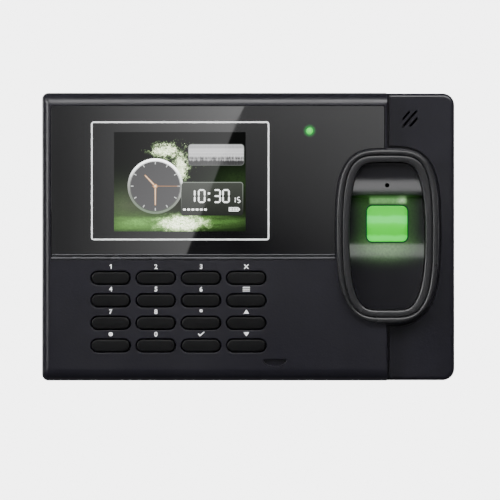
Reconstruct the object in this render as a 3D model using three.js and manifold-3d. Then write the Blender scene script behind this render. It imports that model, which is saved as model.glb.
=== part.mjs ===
// Wall-hung fingerprint time and access terminal, built as an assembly of separate pieces.
//
// Frame, in millimetres: +Z is up, +X is to the right of somebody facing the terminal, and the face
// looks along -Y. The origin is on the wall, at the centre of the wall plate's back face.
// Depths are given as distances in front of the wall, so a depth d lies at y = -d.
import * as THREE from "three";
import { mergeVertices } from "three/addons/utils/BufferGeometryUtils.js";
import Module from "manifold-3d";

const wasm = await Module();
wasm.setup();

// ---------------------------------------------------------------- driving dimensions

const WIDTH = 188;
const HEIGHT = 131;
const SIDE = WIDTH / 2;
const TOP = HEIGHT / 2;
const LEFT_CORNER = 3; // outline corner radii
const RIGHT_CORNER = 5.4;
const WALL = 2.2; // moulded wall thickness
const GAP = 0.3; // clearance between neighbouring pieces
const THROUGH = 60; // deep enough to cut through everything

// Depths in front of the wall.
const PLATE_FRONT = 1.5; // wall plate, back at 0
const RECESS = 2.4; // pocket in the rear cover that takes the wall plate
const BACK_WALL = 4.4; // inside of the rear cover's back wall
const SPLIT = 8; // rear cover meets front housing
const BOARD_BACK = 14.4; // main circuit board
const BOARD_FRONT = 16;
const STRIP = 24; // face of the front housing, seen as the lower strip on the right
const PANEL_BACK = STRIP + GAP;
const PANEL_INSIDE = 26.8;
const PANEL_FACE = 30;
const LENS_FLOOR = 28.4; // bottom of the pocket that holds the glossy lens
const POD_RIM = 33.4; // crest of the finger guide's outer ring

// The raised front panel.
const PANEL_RIGHT = 62.8;
const ROLL_TOP = 6.1; // how far each rolled edge reaches in from the outline
const ROLL_BOTTOM = 6;
const ROLL_LEFT = 4.3;
const ROLL_DEPTH = 5.2;

// The glossy lens, the display behind it and the status light.
const LENS = { left: -89.4, right: 61.6, bottom: -8.6, top: 59.2, corner: 0.8 };
const DISPLAY = { x: -31.1, z: 24.9, width: 60, height: 45.2 };
const STATUS = { x: 27.7, z: 48, radius: 1.6 };
const DIVIDER = { left: -89.4, bottom: -10.3, top: -9.1 };

// Keypad: four columns and four rows of stadium-shaped rubber keys.
const KEY = { width: 17.2, height: 5.4, pitchX: 20.47, pitchZ: 10.2, left: -62.4, top: -18.7 };
const KEY_OPENING = { width: 18, height: 6.2 };
const KEY_NAMES = [
  ["key_1", "key_2", "key_3", "key_escape"],
  ["key_4", "key_5", "key_6", "key_menu"],
  ["key_7", "key_8", "key_9", "key_up"],
  ["key_dot", "key_0", "key_confirm", "key_down"],
];

// Fingerprint reader pod, an upright oval centred on the panel's right edge.
const POD = { x: PANEL_RIGHT, z: 0.2 };
const POD_BULGE = { halfWidth: 23.6, halfHeight: 39.9 }; // the panel's outline around the pod
const POD_RING = { halfWidth: 23, halfHeight: 39.2 };
const POD_STEP = { halfWidth: 20.2, halfHeight: 36.4 }; // outside of the inner trim ring
const POD_MOUTH = { halfWidth: 17.2, halfHeight: 33.4 }; // inside of both rings
const POD_SKIRT = { halfWidth: 19.4, halfHeight: 35.6 };
const WINDOW = { z: 5.7, width: 18.8, height: 16.4, corner: 2.5 };

const SPEAKER = { x: 73.5, z: 53.7, radius: 9.2 };
const CASE_SCREWS = { x: 86.5, z: 46, shaft: 1.4, head: 2.75 };
const LOCK_SCREW = { x: -40, depth: 4.4 };
const WALL_PLATE = { halfWidth: 70, halfHeight: 44, screwX: 60, screwZ: 36, boxScrewX: 30.15 };
const CABLE_BAY = { left: -34, right: 34, bottom: -38, top: -4 };
const HOOK = { x: 52, z: 22, width: 10 };
const USB = { x: 12, depth: 15.65, width: 13.1, height: 5.7 };
const NOTCH = { width: 10.4, height: 3, top: -55.7, deep: 2 }; // half-moon scoop above the service port
const USB_DOOR = {
  left: 3.2,
  right: 20.8,
  front: 21.6,
  hingeDepth: 11,
  hingeZ: -64.15,
  barrel: 1.2,
  pin: 0.5,
};
const TAMPER = { x: -46, z: 8 };

// ---------------------------------------------------------------- shapes and solids

// Points on an elliptical arc, angles in degrees.
function arc(cx, cy, rx, ry, from, to, steps) {
  return Array.from({ length: steps + 1 }, (_, i) => {
    const t = THREE.MathUtils.degToRad(from + ((to - from) * i) / steps);
    return new THREE.Vector2(cx + rx * Math.cos(t), cy + ry * Math.sin(t));
  });
}

// A closed outline through the points, without repeated ones.
function outline(points) {
  const kept = points.filter((p, i) => p.distanceTo(points[(i + 1) % points.length]) > 1e-5);
  return new THREE.Shape(kept);
}

// A rectangle whose left and right corners may have different radii.
function roundedRect(x0, x1, z0, z1, leftRadius, rightRadius = leftRadius, steps = 5) {
  const corner = (x, z, r, from) => arc(x, z, r, r, from, from + 90, r > 0 ? steps : 1);
  return outline([
    ...corner(x1 - rightRadius, z0 + rightRadius, rightRadius, -90),
    ...corner(x1 - rightRadius, z1 - rightRadius, rightRadius, 0),
    ...corner(x0 + leftRadius, z1 - leftRadius, leftRadius, 90),
    ...corner(x0 + leftRadius, z0 + leftRadius, leftRadius, 180),
  ]);
}

function centredRect(x, z, width, height, radius, steps = 4) {
  return roundedRect(x - width / 2, x + width / 2, z - height / 2, z + height / 2, radius, radius, steps);
}

function stadium(x, z, width, height, steps = 8) {
  const r = height / 2;
  const half = width / 2 - r;
  return outline([...arc(x + half, z, r, r, -90, 90, steps), ...arc(x - half, z, r, r, 90, 270, steps)]);
}

// The terminal's outline, moved inwards by inset.
function caseOutline(inset) {
  const left = Math.max(LEFT_CORNER - inset, 0.6);
  const right = RIGHT_CORNER - inset;
  return roundedRect(-SIDE + inset, SIDE - inset, -TOP + inset, TOP - inset, left, right);
}

// The reader's upright oval, a superellipse that is a little fuller above its middle than below.
// Towards its mouth the oval turns into a barrel with tighter corners.
const OVAL_STEPS = 56;
const BARREL = 0.18; // how much the mouth narrows towards its ends
function ovalPoint(halfWidth, halfHeight, i) {
  const t = (2 * Math.PI * i) / OVAL_STEPS;
  const ringWidth = POD_RING.halfWidth - POD_MOUTH.halfWidth;
  const inwards = THREE.MathUtils.clamp((POD_RING.halfWidth - halfWidth) / ringWidth, 0, 1.1);
  const power = 2 / ((Math.sin(t) > 0 ? 3.4 : 2.9) + 2.2 * inwards);
  const across = Math.sign(Math.cos(t)) * Math.abs(Math.cos(t)) ** power;
  const up = Math.sign(Math.sin(t)) * Math.abs(Math.sin(t)) ** power;
  return new THREE.Vector2(halfWidth * across * (1 - BARREL * inwards * up * up), halfHeight * up);
}

function oval({ halfWidth, halfHeight }, grow = 0) {
  const steps = Array.from({ length: OVAL_STEPS }, (_, i) => i);
  return outline(steps.map((i) => ovalPoint(halfWidth + grow, halfHeight + grow, i)));
}

// A closed mesh as a solid that can be joined and cut.
function solid(geometry) {
  geometry.deleteAttribute("normal");
  geometry.deleteAttribute("uv");
  const merged = mergeVertices(geometry, 1e-4);
  const vertProperties = merged.attributes.position.array;
  return new wasm.Manifold(
    new wasm.Mesh({ numProp: 3, vertProperties, triVerts: new Uint32Array(merged.index.array) }),
  );
}

function geometryOf(made) {
  const mesh = made.getMesh();
  const geometry = new THREE.BufferGeometry();
  geometry.setAttribute("position", new THREE.BufferAttribute(mesh.vertProperties, 3));
  geometry.setIndex(new THREE.BufferAttribute(mesh.triVerts, 1));
  return geometry;
}

const extrude = (shape, depth) => new THREE.ExtrudeGeometry(shape, { depth, bevelEnabled: false });

// A shape in X and Z, extruded between two depths in front of the wall.
function slab(shape, back, front) {
  return solid(extrude(shape, front - back).rotateX(Math.PI / 2).translate(0, -back, 0));
}

// A profile of depth and Z, extruded along X.
function barX(points, x0, x1) {
  const turn = new THREE.Matrix4().set(0, 0, 1, 0, -1, 0, 0, 0, 0, 1, 0, 0, 0, 0, 0, 1);
  const mirrored = extrude(outline(points), x1 - x0).applyMatrix4(turn);
  const index = Array.from({ length: mirrored.attributes.position.count }, (_, i) => i);
  for (let i = 0; i < index.length; i += 3) [index[i + 1], index[i + 2]] = [index[i + 2], index[i + 1]];
  mirrored.setIndex(index);
  return solid(mirrored.translate(x0, 0, 0));
}

function block(x0, x1, back, front, z0, z1) {
  const box = new THREE.BoxGeometry(x1 - x0, front - back, z1 - z0);
  return solid(box.translate((x0 + x1) / 2, -(back + front) / 2, (z0 + z1) / 2));
}

// Round pieces along Y, X and Z.
function pegY(x, z, radius, back, front, sides = 20) {
  const peg = new THREE.CylinderGeometry(radius, radius, front - back, sides);
  return solid(peg.translate(x, -(back + front) / 2, z));
}

function pegX(x0, x1, depth, z, radius, sides = 16) {
  const peg = new THREE.CylinderGeometry(radius, radius, x1 - x0, sides).rotateZ(Math.PI / 2);
  return solid(peg.translate((x0 + x1) / 2, -depth, z));
}

function pegZ(x, depth, radius, z0, z1, sides = 16) {
  const peg = new THREE.CylinderGeometry(radius, radius, z1 - z0, sides).rotateX(Math.PI / 2);
  return solid(peg.translate(x, -depth, (z0 + z1) / 2));
}

// A body turned about Y, from a profile of [radius, depth] that starts and ends on the axis.
function turned(profile, sides = 24) {
  const points = profile.map(([radius, depth]) => new THREE.Vector2(radius, depth));
  return solid(new THREE.LatheGeometry(points, sides).rotateX(Math.PI));
}

// An oval ring whose cross-section is a closed list of [inset from the outer oval, depth].
function ovalRing({ halfWidth, halfHeight }, section) {
  const positions = [];
  for (const [inset, depth] of section) {
    for (let i = 0; i < OVAL_STEPS; i++) {
      const p = ovalPoint(halfWidth - inset, halfHeight - inset, i);
      positions.push(p.x, -depth, p.y);
    }
  }
  const index = [];
  for (let j = 0; j < section.length; j++) {
    const here = j * OVAL_STEPS;
    const next = ((j + 1) % section.length) * OVAL_STEPS;
    for (let i = 0; i < OVAL_STEPS; i++) {
      const k = (i + 1) % OVAL_STEPS;
      index.push(here + i, next + k, next + i, here + i, here + k, next + k);
    }
  }
  const ring = new THREE.BufferGeometry();
  ring.setAttribute("position", new THREE.Float32BufferAttribute(positions, 3));
  ring.setIndex(index);
  return solid(ring);
}

const join = (first, ...others) => others.reduce((sum, other) => sum.add(other), first);
const cut = (body, ...tools) => tools.reduce((left, tool) => left.subtract(tool), body);

// ---------------------------------------------------------------- materials

function finish(color, roughness, metalness = 0) {
  return new THREE.MeshStandardMaterial({ color, roughness, metalness });
}

const MATERIALS = {
  casing: finish(0x29282d, 0.55),
  lens: finish(0x141416, 0.05),
  trim: finish(0x4a4a4e, 0.3),
  rubber: finish(0x1d1d1d, 0.75),
  silicone: finish(0x3a3d40, 0.8),
  ring: finish(0x3c3c3e, 0.35),
  reader: finish(0x2a2a2c, 0.4),
  glass: finish(0x6fd35a, 0.1),
  display: finish(0x1c2a1c, 0.1),
  lamp: finish(0x9fe09a, 0.2),
  board: finish(0x14532d, 0.5),
  steel: finish(0xa9abad, 0.35, 1),
  dark_steel: finish(0x55575a, 0.4, 1),
  gold: finish(0xb58b3a, 0.35, 1),
  black_plastic: finish(0x161616, 0.5),
  flex: finish(0xa5602a, 0.5),
  connector_green: finish(0x2f8f4e, 0.5),
  relay_blue: finish(0x1f4f9c, 0.45),
  clear_glass: finish(0xcfd8dc, 0.05),
};

const terminal = new THREE.Group();

function place(name, body, material, group = terminal) {
  const mesh = new THREE.Mesh(geometryOf(body), MATERIALS[material]);
  mesh.name = name;
  group.add(mesh);
  return mesh;
}

// ---------------------------------------------------------------- casing

// Steel plate screwed to the wall: four hooks, a cable opening and a bent tab for the lock screw.
function wallPlate() {
  const { halfWidth, halfHeight, screwX, screwZ, boxScrewX } = WALL_PLATE;
  const sheet = slab(centredRect(0, 0, 2 * halfWidth, 2 * halfHeight, 4), 0, PLATE_FRONT);
  const tabX = LOCK_SCREW.x;
  const tongue = block(tabX - 6, tabX + 6, 0, PLATE_FRONT, -61.5, -halfHeight + 1);
  const tab = block(tabX - 6, tabX + 6, 0, 7.5, -61.5, -60);
  const hooks = [];
  for (const x of [-HOOK.x, HOOK.x]) {
    for (const z of [-HOOK.z, HOOK.z]) {
      const half = HOOK.width / 2;
      hooks.push(block(x - half, x + half, PLATE_FRONT - 0.5, 6.2, z, z + 1.5));
      hooks.push(block(x - half, x + half, BACK_WALL + GAP, 6.2, z, z + 5));
    }
  }
  const { left, right, bottom, top } = CABLE_BAY;
  const opening = slab(roundedRect(left, right, bottom, top, 2), -1, 3);
  const holes = [];
  for (const x of [-screwX, screwX]) {
    for (const z of [-screwZ, screwZ]) holes.push(pegY(x, z, 2.3, -1, 3, 16));
  }
  for (const x of [-boxScrewX, boxScrewX]) holes.push(slab(stadium(x, 30, 9, 4.6, 6), -1, 3));
  const lockHole = pegZ(tabX, LOCK_SCREW.depth, 1.8, -63, -59);
  return cut(join(sheet, tongue, tab, ...hooks), opening, ...holes, lockHole);
}

// Rear shell: back wall with the plate recess and cable bay, a locating lip and four screw posts.
function rearCover() {
  const plate = centredRect(0, 0, 2 * WALL_PLATE.halfWidth + 2, 2 * WALL_PLATE.halfHeight + 2, 4.5);
  const plateWall = centredRect(0, 0, 2 * WALL_PLATE.halfWidth + 6, 2 * WALL_PLATE.halfHeight + 6, 6);
  const inside = caseOutline(WALL);
  let shell = cut(
    slab(caseOutline(0), 0, SPLIT),
    slab(inside, BACK_WALL, SPLIT + 1),
    cut(slab(inside, 2, BACK_WALL + 0.5), slab(plateWall, 0, 6)),
    slab(plate, -1, RECESS),
  );
  const insideLip = slab(caseOutline(3.7), 4, SPLIT + 3);
  const lip = cut(slab(caseOutline(WALL - 0.6), 5, SPLIT), insideLip);
  const tongue = cut(slab(caseOutline(WALL + GAP), SPLIT - 0.5, SPLIT + 1.4), insideLip);
  const { left, right, bottom, top } = CABLE_BAY;
  const bayWalls = slab(roundedRect(left - 2, right + 2, bottom - 2, top + 2, 3), RECESS, BOARD_BACK - GAP);
  const bay = slab(roundedRect(left, right, bottom, top, 2), -1, THROUGH);
  const lockBoss = block(LOCK_SCREW.x - 7, LOCK_SCREW.x + 7, 1, SPLIT, -TOP + 1, -TOP + 3.4);
  const posts = [];
  const bores = [];
  for (const x of [-CASE_SCREWS.x, CASE_SCREWS.x]) {
    for (const z of [-CASE_SCREWS.z, CASE_SCREWS.z]) {
      posts.push(pegY(x, z, 4.2, 0.5, SPLIT));
      bores.push(pegY(x, z, CASE_SCREWS.head + 0.45, -1, 3));
      bores.push(pegY(x, z, CASE_SCREWS.shaft + 0.4, 1, SPLIT + 1, 12));
    }
  }
  const hookSlots = [];
  for (const x of [-HOOK.x, HOOK.x]) {
    for (const z of [-HOOK.z, HOOK.z]) {
      const half = HOOK.width / 2 + 0.8;
      hookSlots.push(block(x - half, x + half, 0, 7, z - 6, z + 1.5 + GAP));
    }
  }
  const { x: tabX } = LOCK_SCREW;
  const tabSlot = block(tabX - 6.6, tabX + 6.6, -1, BACK_WALL + 0.5, -62, -WALL_PLATE.halfHeight);
  const vents = [];
  for (let i = -4; i <= 4; i++) vents.push(slab(centredRect(i * 6, 56, 2, 9, 0.9, 3), -1, 5));
  shell = join(shell, lip, tongue, bayWalls, lockBoss, ...posts);
  return cut(
    shell,
    bay,
    ...bores,
    ...hookSlots,
    tabSlot,
    ...vents,
    block(USB_DOOR.left - 4, USB_DOOR.right + 4, SPLIT, SPLIT + 3, -TOP, -TOP + 4.8),
    pegY(TAMPER.x, TAMPER.z, 1.3 + GAP, 0, 6, 16),
    pegZ(LOCK_SCREW.x, LOCK_SCREW.depth, 1.8, -TOP - 1, -60),
    pegZ(LOCK_SCREW.x, LOCK_SCREW.depth, 3.1, -TOP - 1, -TOP + 1.9, 20),
  );
}

// Outline of the raised panel: straight on the right, with a bulge around the reader.
function panelSlab(grow, back, front) {
  const plate = roundedRect(-SIDE, PANEL_RIGHT + grow, -TOP, TOP, LEFT_CORNER, 0);
  return slab(plate, back, front).add(slab(oval(POD_BULGE, grow), back, front).translate([POD.x, 0, POD.z]));
}

// Front shell: its face is the lower strip on the right and the floor under the raised panel.
function frontHousing() {
  const edge = 2; // fillet around the strip's outer edges
  const fillet = [
    new THREE.Vector2(0, -TOP),
    ...arc(STRIP - edge, -TOP + edge, edge, edge, -90, 0, 4),
    ...arc(STRIP - edge, TOP - edge, edge, edge, 0, 90, 4),
    new THREE.Vector2(0, TOP),
  ];
  const sideFillet = outline([
    new THREE.Vector2(-SIDE - 1, 0),
    new THREE.Vector2(-SIDE - 1, -STRIP),
    ...arc(SIDE - edge, -STRIP + edge, edge, edge, -90, 0, 4),
    new THREE.Vector2(SIDE, 0),
  ]);
  const underPanel = block(-SIDE - 1, PANEL_RIGHT + 1, 0, STRIP, -TOP, TOP);
  const rounded = barX(fillet, PANEL_RIGHT + 1, SIDE + 1).add(underPanel);
  const sideRounded = solid(extrude(sideFillet, HEIGHT + 2).translate(0, 0, -TOP - 1));
  let shell = slab(caseOutline(0), SPLIT + GAP, STRIP).intersect(rounded).intersect(sideRounded);
  shell = shell.subtract(slab(caseOutline(WALL), 0, STRIP - WALL));
  const podHole = slab(oval(POD_SKIRT, 0.6), 0, THROUGH).translate([POD.x, 0, POD.z]);
  const groove = panelSlab(1.1, STRIP - 0.9, STRIP + 1)
    .subtract(panelSlab(-0.2, 0, THROUGH))
    .intersect(block(PANEL_RIGHT - 4, SIDE, 0, THROUGH, -TOP - 1, TOP + 1));
  const speakerWall = cut(
    pegY(SPEAKER.x, SPEAKER.z, SPEAKER.radius + 1.6, 17, STRIP - 1, 24),
    pegY(SPEAKER.x, SPEAKER.z, SPEAKER.radius + 0.4, 10, STRIP - WALL, 24),
  ).intersect(slab(caseOutline(1), 10, STRIP));
  const posts = [];
  const bores = [];
  for (const x of [-CASE_SCREWS.x, CASE_SCREWS.x]) {
    for (const z of [-CASE_SCREWS.z, CASE_SCREWS.z]) {
      posts.push(pegY(x, z, 3.8, SPLIT + GAP, STRIP - 1));
      bores.push(pegY(x, z, CASE_SCREWS.shaft + GAP, 0, 20, 12));
    }
  }
  const { left, right, front, hingeDepth, hingeZ, barrel, pin } = USB_DOOR;
  const doorBoss = block(left - 3, right + 3, hingeDepth - 2.6, front + 1.4, -TOP + 1, -TOP + 4.4);
  const doorPocket = block(left - GAP, right + GAP, hingeDepth, front + GAP, -TOP - 1, -TOP + 1.9);
  const barrelTop = hingeZ + barrel + GAP;
  const barrelPocket = block(
    left - GAP,
    right + GAP,
    hingeDepth - 1.5,
    hingeDepth + 1.6,
    -TOP - 1,
    barrelTop,
  );
  const pinHole = pegX(left - 2.4, right + 2.4, hingeDepth, hingeZ, pin + GAP);
  const usbHole = block(
    USB.x - USB.width / 2 - GAP,
    USB.x + USB.width / 2 + GAP,
    USB.depth - USB.height / 2 - GAP,
    USB.depth + USB.height / 2 + GAP,
    -TOP - 1,
    -TOP + 6,
  );
  shell = join(shell, speakerWall, doorBoss, ...posts);
  return cut(
    shell,
    slab(roundedRect(-78, 38, -57, 57, 3), STRIP - 4, THROUGH),
    podHole,
    groove,
    ...speakerSlots(),
    ...bores,
    doorPocket,
    barrelPocket,
    pinHole,
    usbHole,
  );
}

// Three slanting sound slots, the middle one twice as long as its neighbours.
function speakerSlots() {
  const slant = THREE.MathUtils.degToRad(-41);
  return [
    [-1.7, 1.5, 4.9],
    [-0.1, 0, 10.2],
    [1.8, -1.4, 5.1],
  ].map(([x, z, length]) => {
    const slot = new THREE.BoxGeometry(0.9, THROUGH, length).rotateY(-slant);
    return solid(slot.translate(SPEAKER.x + x, -STRIP, SPEAKER.z + z)).intersect(
      block(SPEAKER.x - 8, SPEAKER.x + 8, STRIP - WALL - 1, STRIP + 1, SPEAKER.z - 8, SPEAKER.z + 8),
    );
  });
}

// Raised front panel with its rolled edges, the lens pocket and all the openings.
function frontPanel() {
  const rollStart = PANEL_FACE - ROLL_DEPTH;
  const acrossRoll = [
    new THREE.Vector2(0, -TOP),
    ...arc(rollStart, -TOP + ROLL_BOTTOM, ROLL_DEPTH, ROLL_BOTTOM, -90, 0, 8),
    ...arc(rollStart, TOP - ROLL_TOP, ROLL_DEPTH, ROLL_TOP, 0, 90, 8),
    new THREE.Vector2(0, TOP),
  ];
  const sideRoll = outline([
    new THREE.Vector2(SIDE, 0),
    new THREE.Vector2(-SIDE, 0),
    ...arc(-SIDE + ROLL_LEFT, -rollStart, ROLL_LEFT, ROLL_DEPTH, 180, 270, 8),
    new THREE.Vector2(SIDE, -PANEL_FACE),
  ]);
  const rolled = barX(acrossRoll, -SIDE - 1, SIDE + 1).intersect(
    solid(extrude(sideRoll, HEIGHT + 2).translate(0, 0, -TOP - 1)),
  );
  const inset = 2.4;
  const hollow = slab(
    roundedRect(-SIDE + inset, PANEL_RIGHT - inset, -TOP + inset, TOP - inset, 1.2),
    PANEL_BACK - 1,
    PANEL_INSIDE,
  );
  const podZone = slab(oval(POD_RING, 0.5), 0, THROUGH).translate([POD.x, 0, POD.z]);
  const lensPocket = slab(
    roundedRect(LENS.left - 0.2, LENS.right + 0.2, LENS.bottom - 0.2, LENS.top + 0.2, LENS.corner + 0.2),
    LENS_FLOOR,
    THROUGH,
  ).subtract(podZone);
  const dividerGroove = block(
    DIVIDER.left - GAP,
    PANEL_RIGHT - 2,
    PANEL_FACE - 1,
    THROUGH,
    DIVIDER.bottom - GAP,
    LENS.bottom,
  ).subtract(podZone);
  const displayHole = centredRect(DISPLAY.x, DISPLAY.z, DISPLAY.width + 1.2, DISPLAY.height + 1.2, 0.6);
  const keyHoles = [];
  eachKey((_, x, z) => {
    keyHoles.push(slab(stadium(x, z, KEY_OPENING.width, KEY_OPENING.height), PANEL_BACK - 1, THROUGH));
  });
  const smile = [new THREE.Vector2(NOTCH.width / 2, 0), new THREE.Vector2(-NOTCH.width / 2, 0)];
  smile.push(...arc(0, 0, NOTCH.width / 2, NOTCH.height, 180, 360, 10).slice(1, -1));
  const nailNotch = slab(outline(smile), PANEL_FACE - NOTCH.deep, THROUGH).translate([USB.x, 0, NOTCH.top]);
  const snaps = [];
  for (const z of [-40, 40]) {
    for (const x of [-77.6, 36.4]) {
      snaps.push(block(x, x + 1.2, STRIP - 3.2, PANEL_INSIDE + 0.5, z - 4, z + 4));
    }
  }
  return cut(
    join(cut(panelSlab(0, PANEL_BACK, PANEL_FACE).intersect(rolled), hollow), ...snaps),
    lensPocket,
    dividerGroove,
    slab(displayHole, 0, THROUGH),
    pegY(STATUS.x, STATUS.z, STATUS.radius + 0.3, 0, THROUGH, 16),
    ...keyHoles,
    slab(oval(POD_SKIRT, 0.4), 0, THROUGH).translate([POD.x, 0, POD.z]),
    nailNotch,
  );
}

// Glossy smoked acrylic over the display; its right end is cut away around the reader.
function lensPanel() {
  const { left, right, bottom, top, corner } = LENS;
  const sheet = slab(roundedRect(left, right, bottom, top, corner), LENS_FLOOR + 0.2, 29.8);
  const podClearance = slab(oval(POD_RING, 0.8), 0, THROUGH).translate([POD.x, 0, POD.z]);
  return cut(sheet, podClearance, pegY(STATUS.x, STATUS.z, STATUS.radius + 0.3, 0, THROUGH, 16));
}

function dividerTrim() {
  const { left, bottom, top } = DIVIDER;
  const strip = block(left, PANEL_RIGHT - 3, PANEL_FACE - 0.8, PANEL_FACE, bottom, top);
  return strip.subtract(slab(oval(POD_RING, 0.8), 0, THROUGH).translate([POD.x, 0, POD.z]));
}

// ---------------------------------------------------------------- keypad

function eachKey(use) {
  KEY_NAMES.forEach((row, j) =>
    row.forEach((name, i) => use(name, KEY.left + i * KEY.pitchX, KEY.top - j * KEY.pitchZ)),
  );
}

// One rubber key about its own centre: crowned cap, retaining flange and stem with its contact pill.
function keyBody() {
  const cap = slab(stadium(0, 0, KEY.width, KEY.height), 26, 30.5);
  const crown = slab(stadium(0, 0, KEY.width - 0.9, KEY.height - 0.9), 30, 30.9);
  const flange = slab(stadium(0, 0, 19.4, 7.8), 25.5, 26.5);
  const stem = slab(stadium(0, 0, 10, 3.2, 5), 22.7, 26);
  return join(cap, crown, flange, stem);
}

// Silicone sheet between panel and board, with a raised collar round each key's stem.
function keypadMat() {
  const sheet = slab(roundedRect(-74, 11, -55.5, -12.5, 2), 23, 24);
  const holes = [];
  const collars = [];
  eachKey((_, x, z) => {
    collars.push(slab(stadium(x, z, 13.4, 6.4, 5), 21.9, 23.5));
    holes.push(slab(stadium(x, z, 11, 4.2, 5), 20, 25));
  });
  return cut(join(sheet, ...collars), ...holes);
}

// ---------------------------------------------------------------- fingerprint reader, about the pod's centre

function readerBezel() {
  const width = POD_RING.halfWidth - POD_STEP.halfWidth - 0.2;
  const skirtOutside = POD_RING.halfWidth - POD_SKIRT.halfWidth;
  const mouth = POD_RING.halfWidth - POD_MOUTH.halfWidth;
  return ovalRing(POD_RING, [
    [0, PANEL_FACE + GAP],
    [0, 32.2],
    [0.35, 33],
    [1.1, POD_RIM],
    [width - 0.6, 33.2],
    [width, 32.6],
    [width, 31.4],
    [mouth, 31.4],
    [mouth, STRIP - 2],
    [skirtOutside, STRIP - 2],
    [skirtOutside, PANEL_FACE + GAP],
  ]);
}

function readerTrim() {
  const width = POD_STEP.halfWidth - POD_MOUTH.halfWidth;
  return ovalRing(POD_STEP, [
    [0, 31.7],
    [0, 32.7],
    [0.4, 33],
    [width - 0.7, 32.7],
    [width, 32.1],
    [width, 31.7],
  ]);
}

// Finger cradle: a brow that stops the fingertip, the sunk window field and a ramp for the pad.
// The profile lists height and depth from the bottom up.
const CRADLE_PROFILE = [
  [-34, 29.6],
  [-12.4, 28.9],
  [-8.4, 28.45],
  [-4.2, 27.4],
  [-3.2, 26.6],
  [18.8, 26.2],
  [20, 30.7],
  [20.8, 30.9],
  [26.6, 29.1],
  [27.8, 28.9],
  [34, 28.9],
];

function readerCradle() {
  const face = CRADLE_PROFILE.map(([z, depth]) => new THREE.Vector2(depth, z));
  const back = [new THREE.Vector2(24.4, 34), new THREE.Vector2(24.4, -34)];
  const slot = centredRect(0, WINDOW.z, WINDOW.width + 2.8, WINDOW.height + 2.8, WINDOW.corner + 1.4);
  return cut(
    barX([...face, ...back], -18, 18).intersect(slab(oval(POD_MOUTH, -GAP), 0, THROUGH)),
    slab(slot, 0, THROUGH),
    pegY(0, 23.1, 1, 0, THROUGH, 16),
  );
}

function windowGasket() {
  const outer = centredRect(0, WINDOW.z, WINDOW.width + 2.2, WINDOW.height + 2.2, WINDOW.corner + 1.1);
  const inner = centredRect(0, WINDOW.z, WINDOW.width + 0.6, WINDOW.height + 0.6, WINDOW.corner + 0.3);
  return slab(outer, 25, 27).subtract(slab(inner, 0, THROUGH));
}

function sensorWindow() {
  const plate = slab(centredRect(0, WINDOW.z, WINDOW.width, WINDOW.height, WINDOW.corner), 24.4, 27.2);
  const proud = centredRect(0, WINDOW.z, WINDOW.width - 0.8, WINDOW.height - 0.8, WINDOW.corner - 0.4);
  return plate.add(slab(proud, 27, 27.6));
}

function sensorPrism() {
  const profile = [
    new THREE.Vector2(24, WINDOW.z - 7.5),
    new THREE.Vector2(24, WINDOW.z + 7.5),
    new THREE.Vector2(22.5, WINDOW.z + 7.5),
    new THREE.Vector2(14.5, WINDOW.z - 7.5),
  ];
  return barX(profile, -8.5, 8.5);
}

function opticsHousing() {
  const tub = block(-12, 12, 10.4, 23.6, WINDOW.z - 11, WINDOW.z + 11);
  return tub.subtract(block(-10.4, 10.4, 12, 30, WINDOW.z - 9.4, WINDOW.z + 9.4));
}

// ---------------------------------------------------------------- electronics

function speakerFrame() {
  const { radius } = SPEAKER;
  return turned([
    [0, 13],
    [4.6, 13],
    [4.6, 16],
    [radius - 1, 18.6],
    [radius, 19.4],
    [radius, 21.4],
    [radius - 1.2, 21.4],
    [radius - 1.4, 20],
    [4, 17.6],
    [0, 17.6],
  ]);
}

function speakerCone() {
  const { radius } = SPEAKER;
  return turned([
    [0, 17.9],
    [3.6, 17.9],
    [radius - 1.9, 20],
    [radius - 1.9, 20.4],
    [3.4, 18.5],
    [2.2, 19.3],
    [0, 19.6],
  ]);
}

function mainBoard() {
  const board = slab(roundedRect(-78, 38, -54, 54, 1.5), BOARD_BACK, BOARD_FRONT);
  const usbNotch = block(USB.x - 7.4, USB.x + 7.4, 14, 17, -55, -48);
  return cut(
    board,
    usbNotch,
    pegY(-74, 50, 1.7, 10, 20, 12),
    pegY(-74, -50, 1.7, 10, 20, 12),
    pegY(34, 50, 1.7, 10, 20, 12),
    pegY(34, -50, 1.7, 10, 20, 12),
  );
}

// Socket pieces hang from the top of the cable bay, with their mouths facing down.
function ethernetJack() {
  const shell = block(-29, -13, 0.9, BOARD_BACK - GAP, -20.5, -5);
  return cut(shell, block(-27, -15, 3.4, 12, -21, -9), block(-24, -18, 1.9, 4, -21, -12));
}

function powerJack() {
  const shell = block(-7, 2, 3.4, BOARD_BACK - GAP, -18.5, -5);
  return cut(shell, pegZ(-2.5, 8.9, 3.1, -19, -9)).add(pegZ(-2.5, 8.9, 1, -18, -8, 10));
}

function terminalBlock() {
  const pitch = 5;
  const ways = [0, 1, 2, 3, 4].map((i) => 9 + i * pitch);
  const shell = block(6.2, 31.8, 4.4, BOARD_BACK - GAP, -16.5, -5);
  const mouths = ways.map((x) => block(x - 1.7, x + 1.7, 9, 12.4, -17, -8));
  const screws = ways.map((x) => pegY(x, -10.5, 1.7, 3, 6.4, 12));
  return cut(shell, ...mouths, ...screws);
}

function usbPort() {
  const { x, depth, width, height } = USB;
  const [back, front] = [depth - height / 2, depth + height / 2];
  const shell = block(x - width / 2, x + width / 2, back, front, -TOP + 2.2, -48.4);
  const inside = block(x - 6.1, x + 6.1, depth - 2.4, depth + 2.4, -TOP, -50);
  const tongue = block(x - 5.6, x + 5.6, depth + 0.2, depth + 1.6, -62.4, -49.8);
  return shell.subtract(inside).add(tongue);
}

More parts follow.
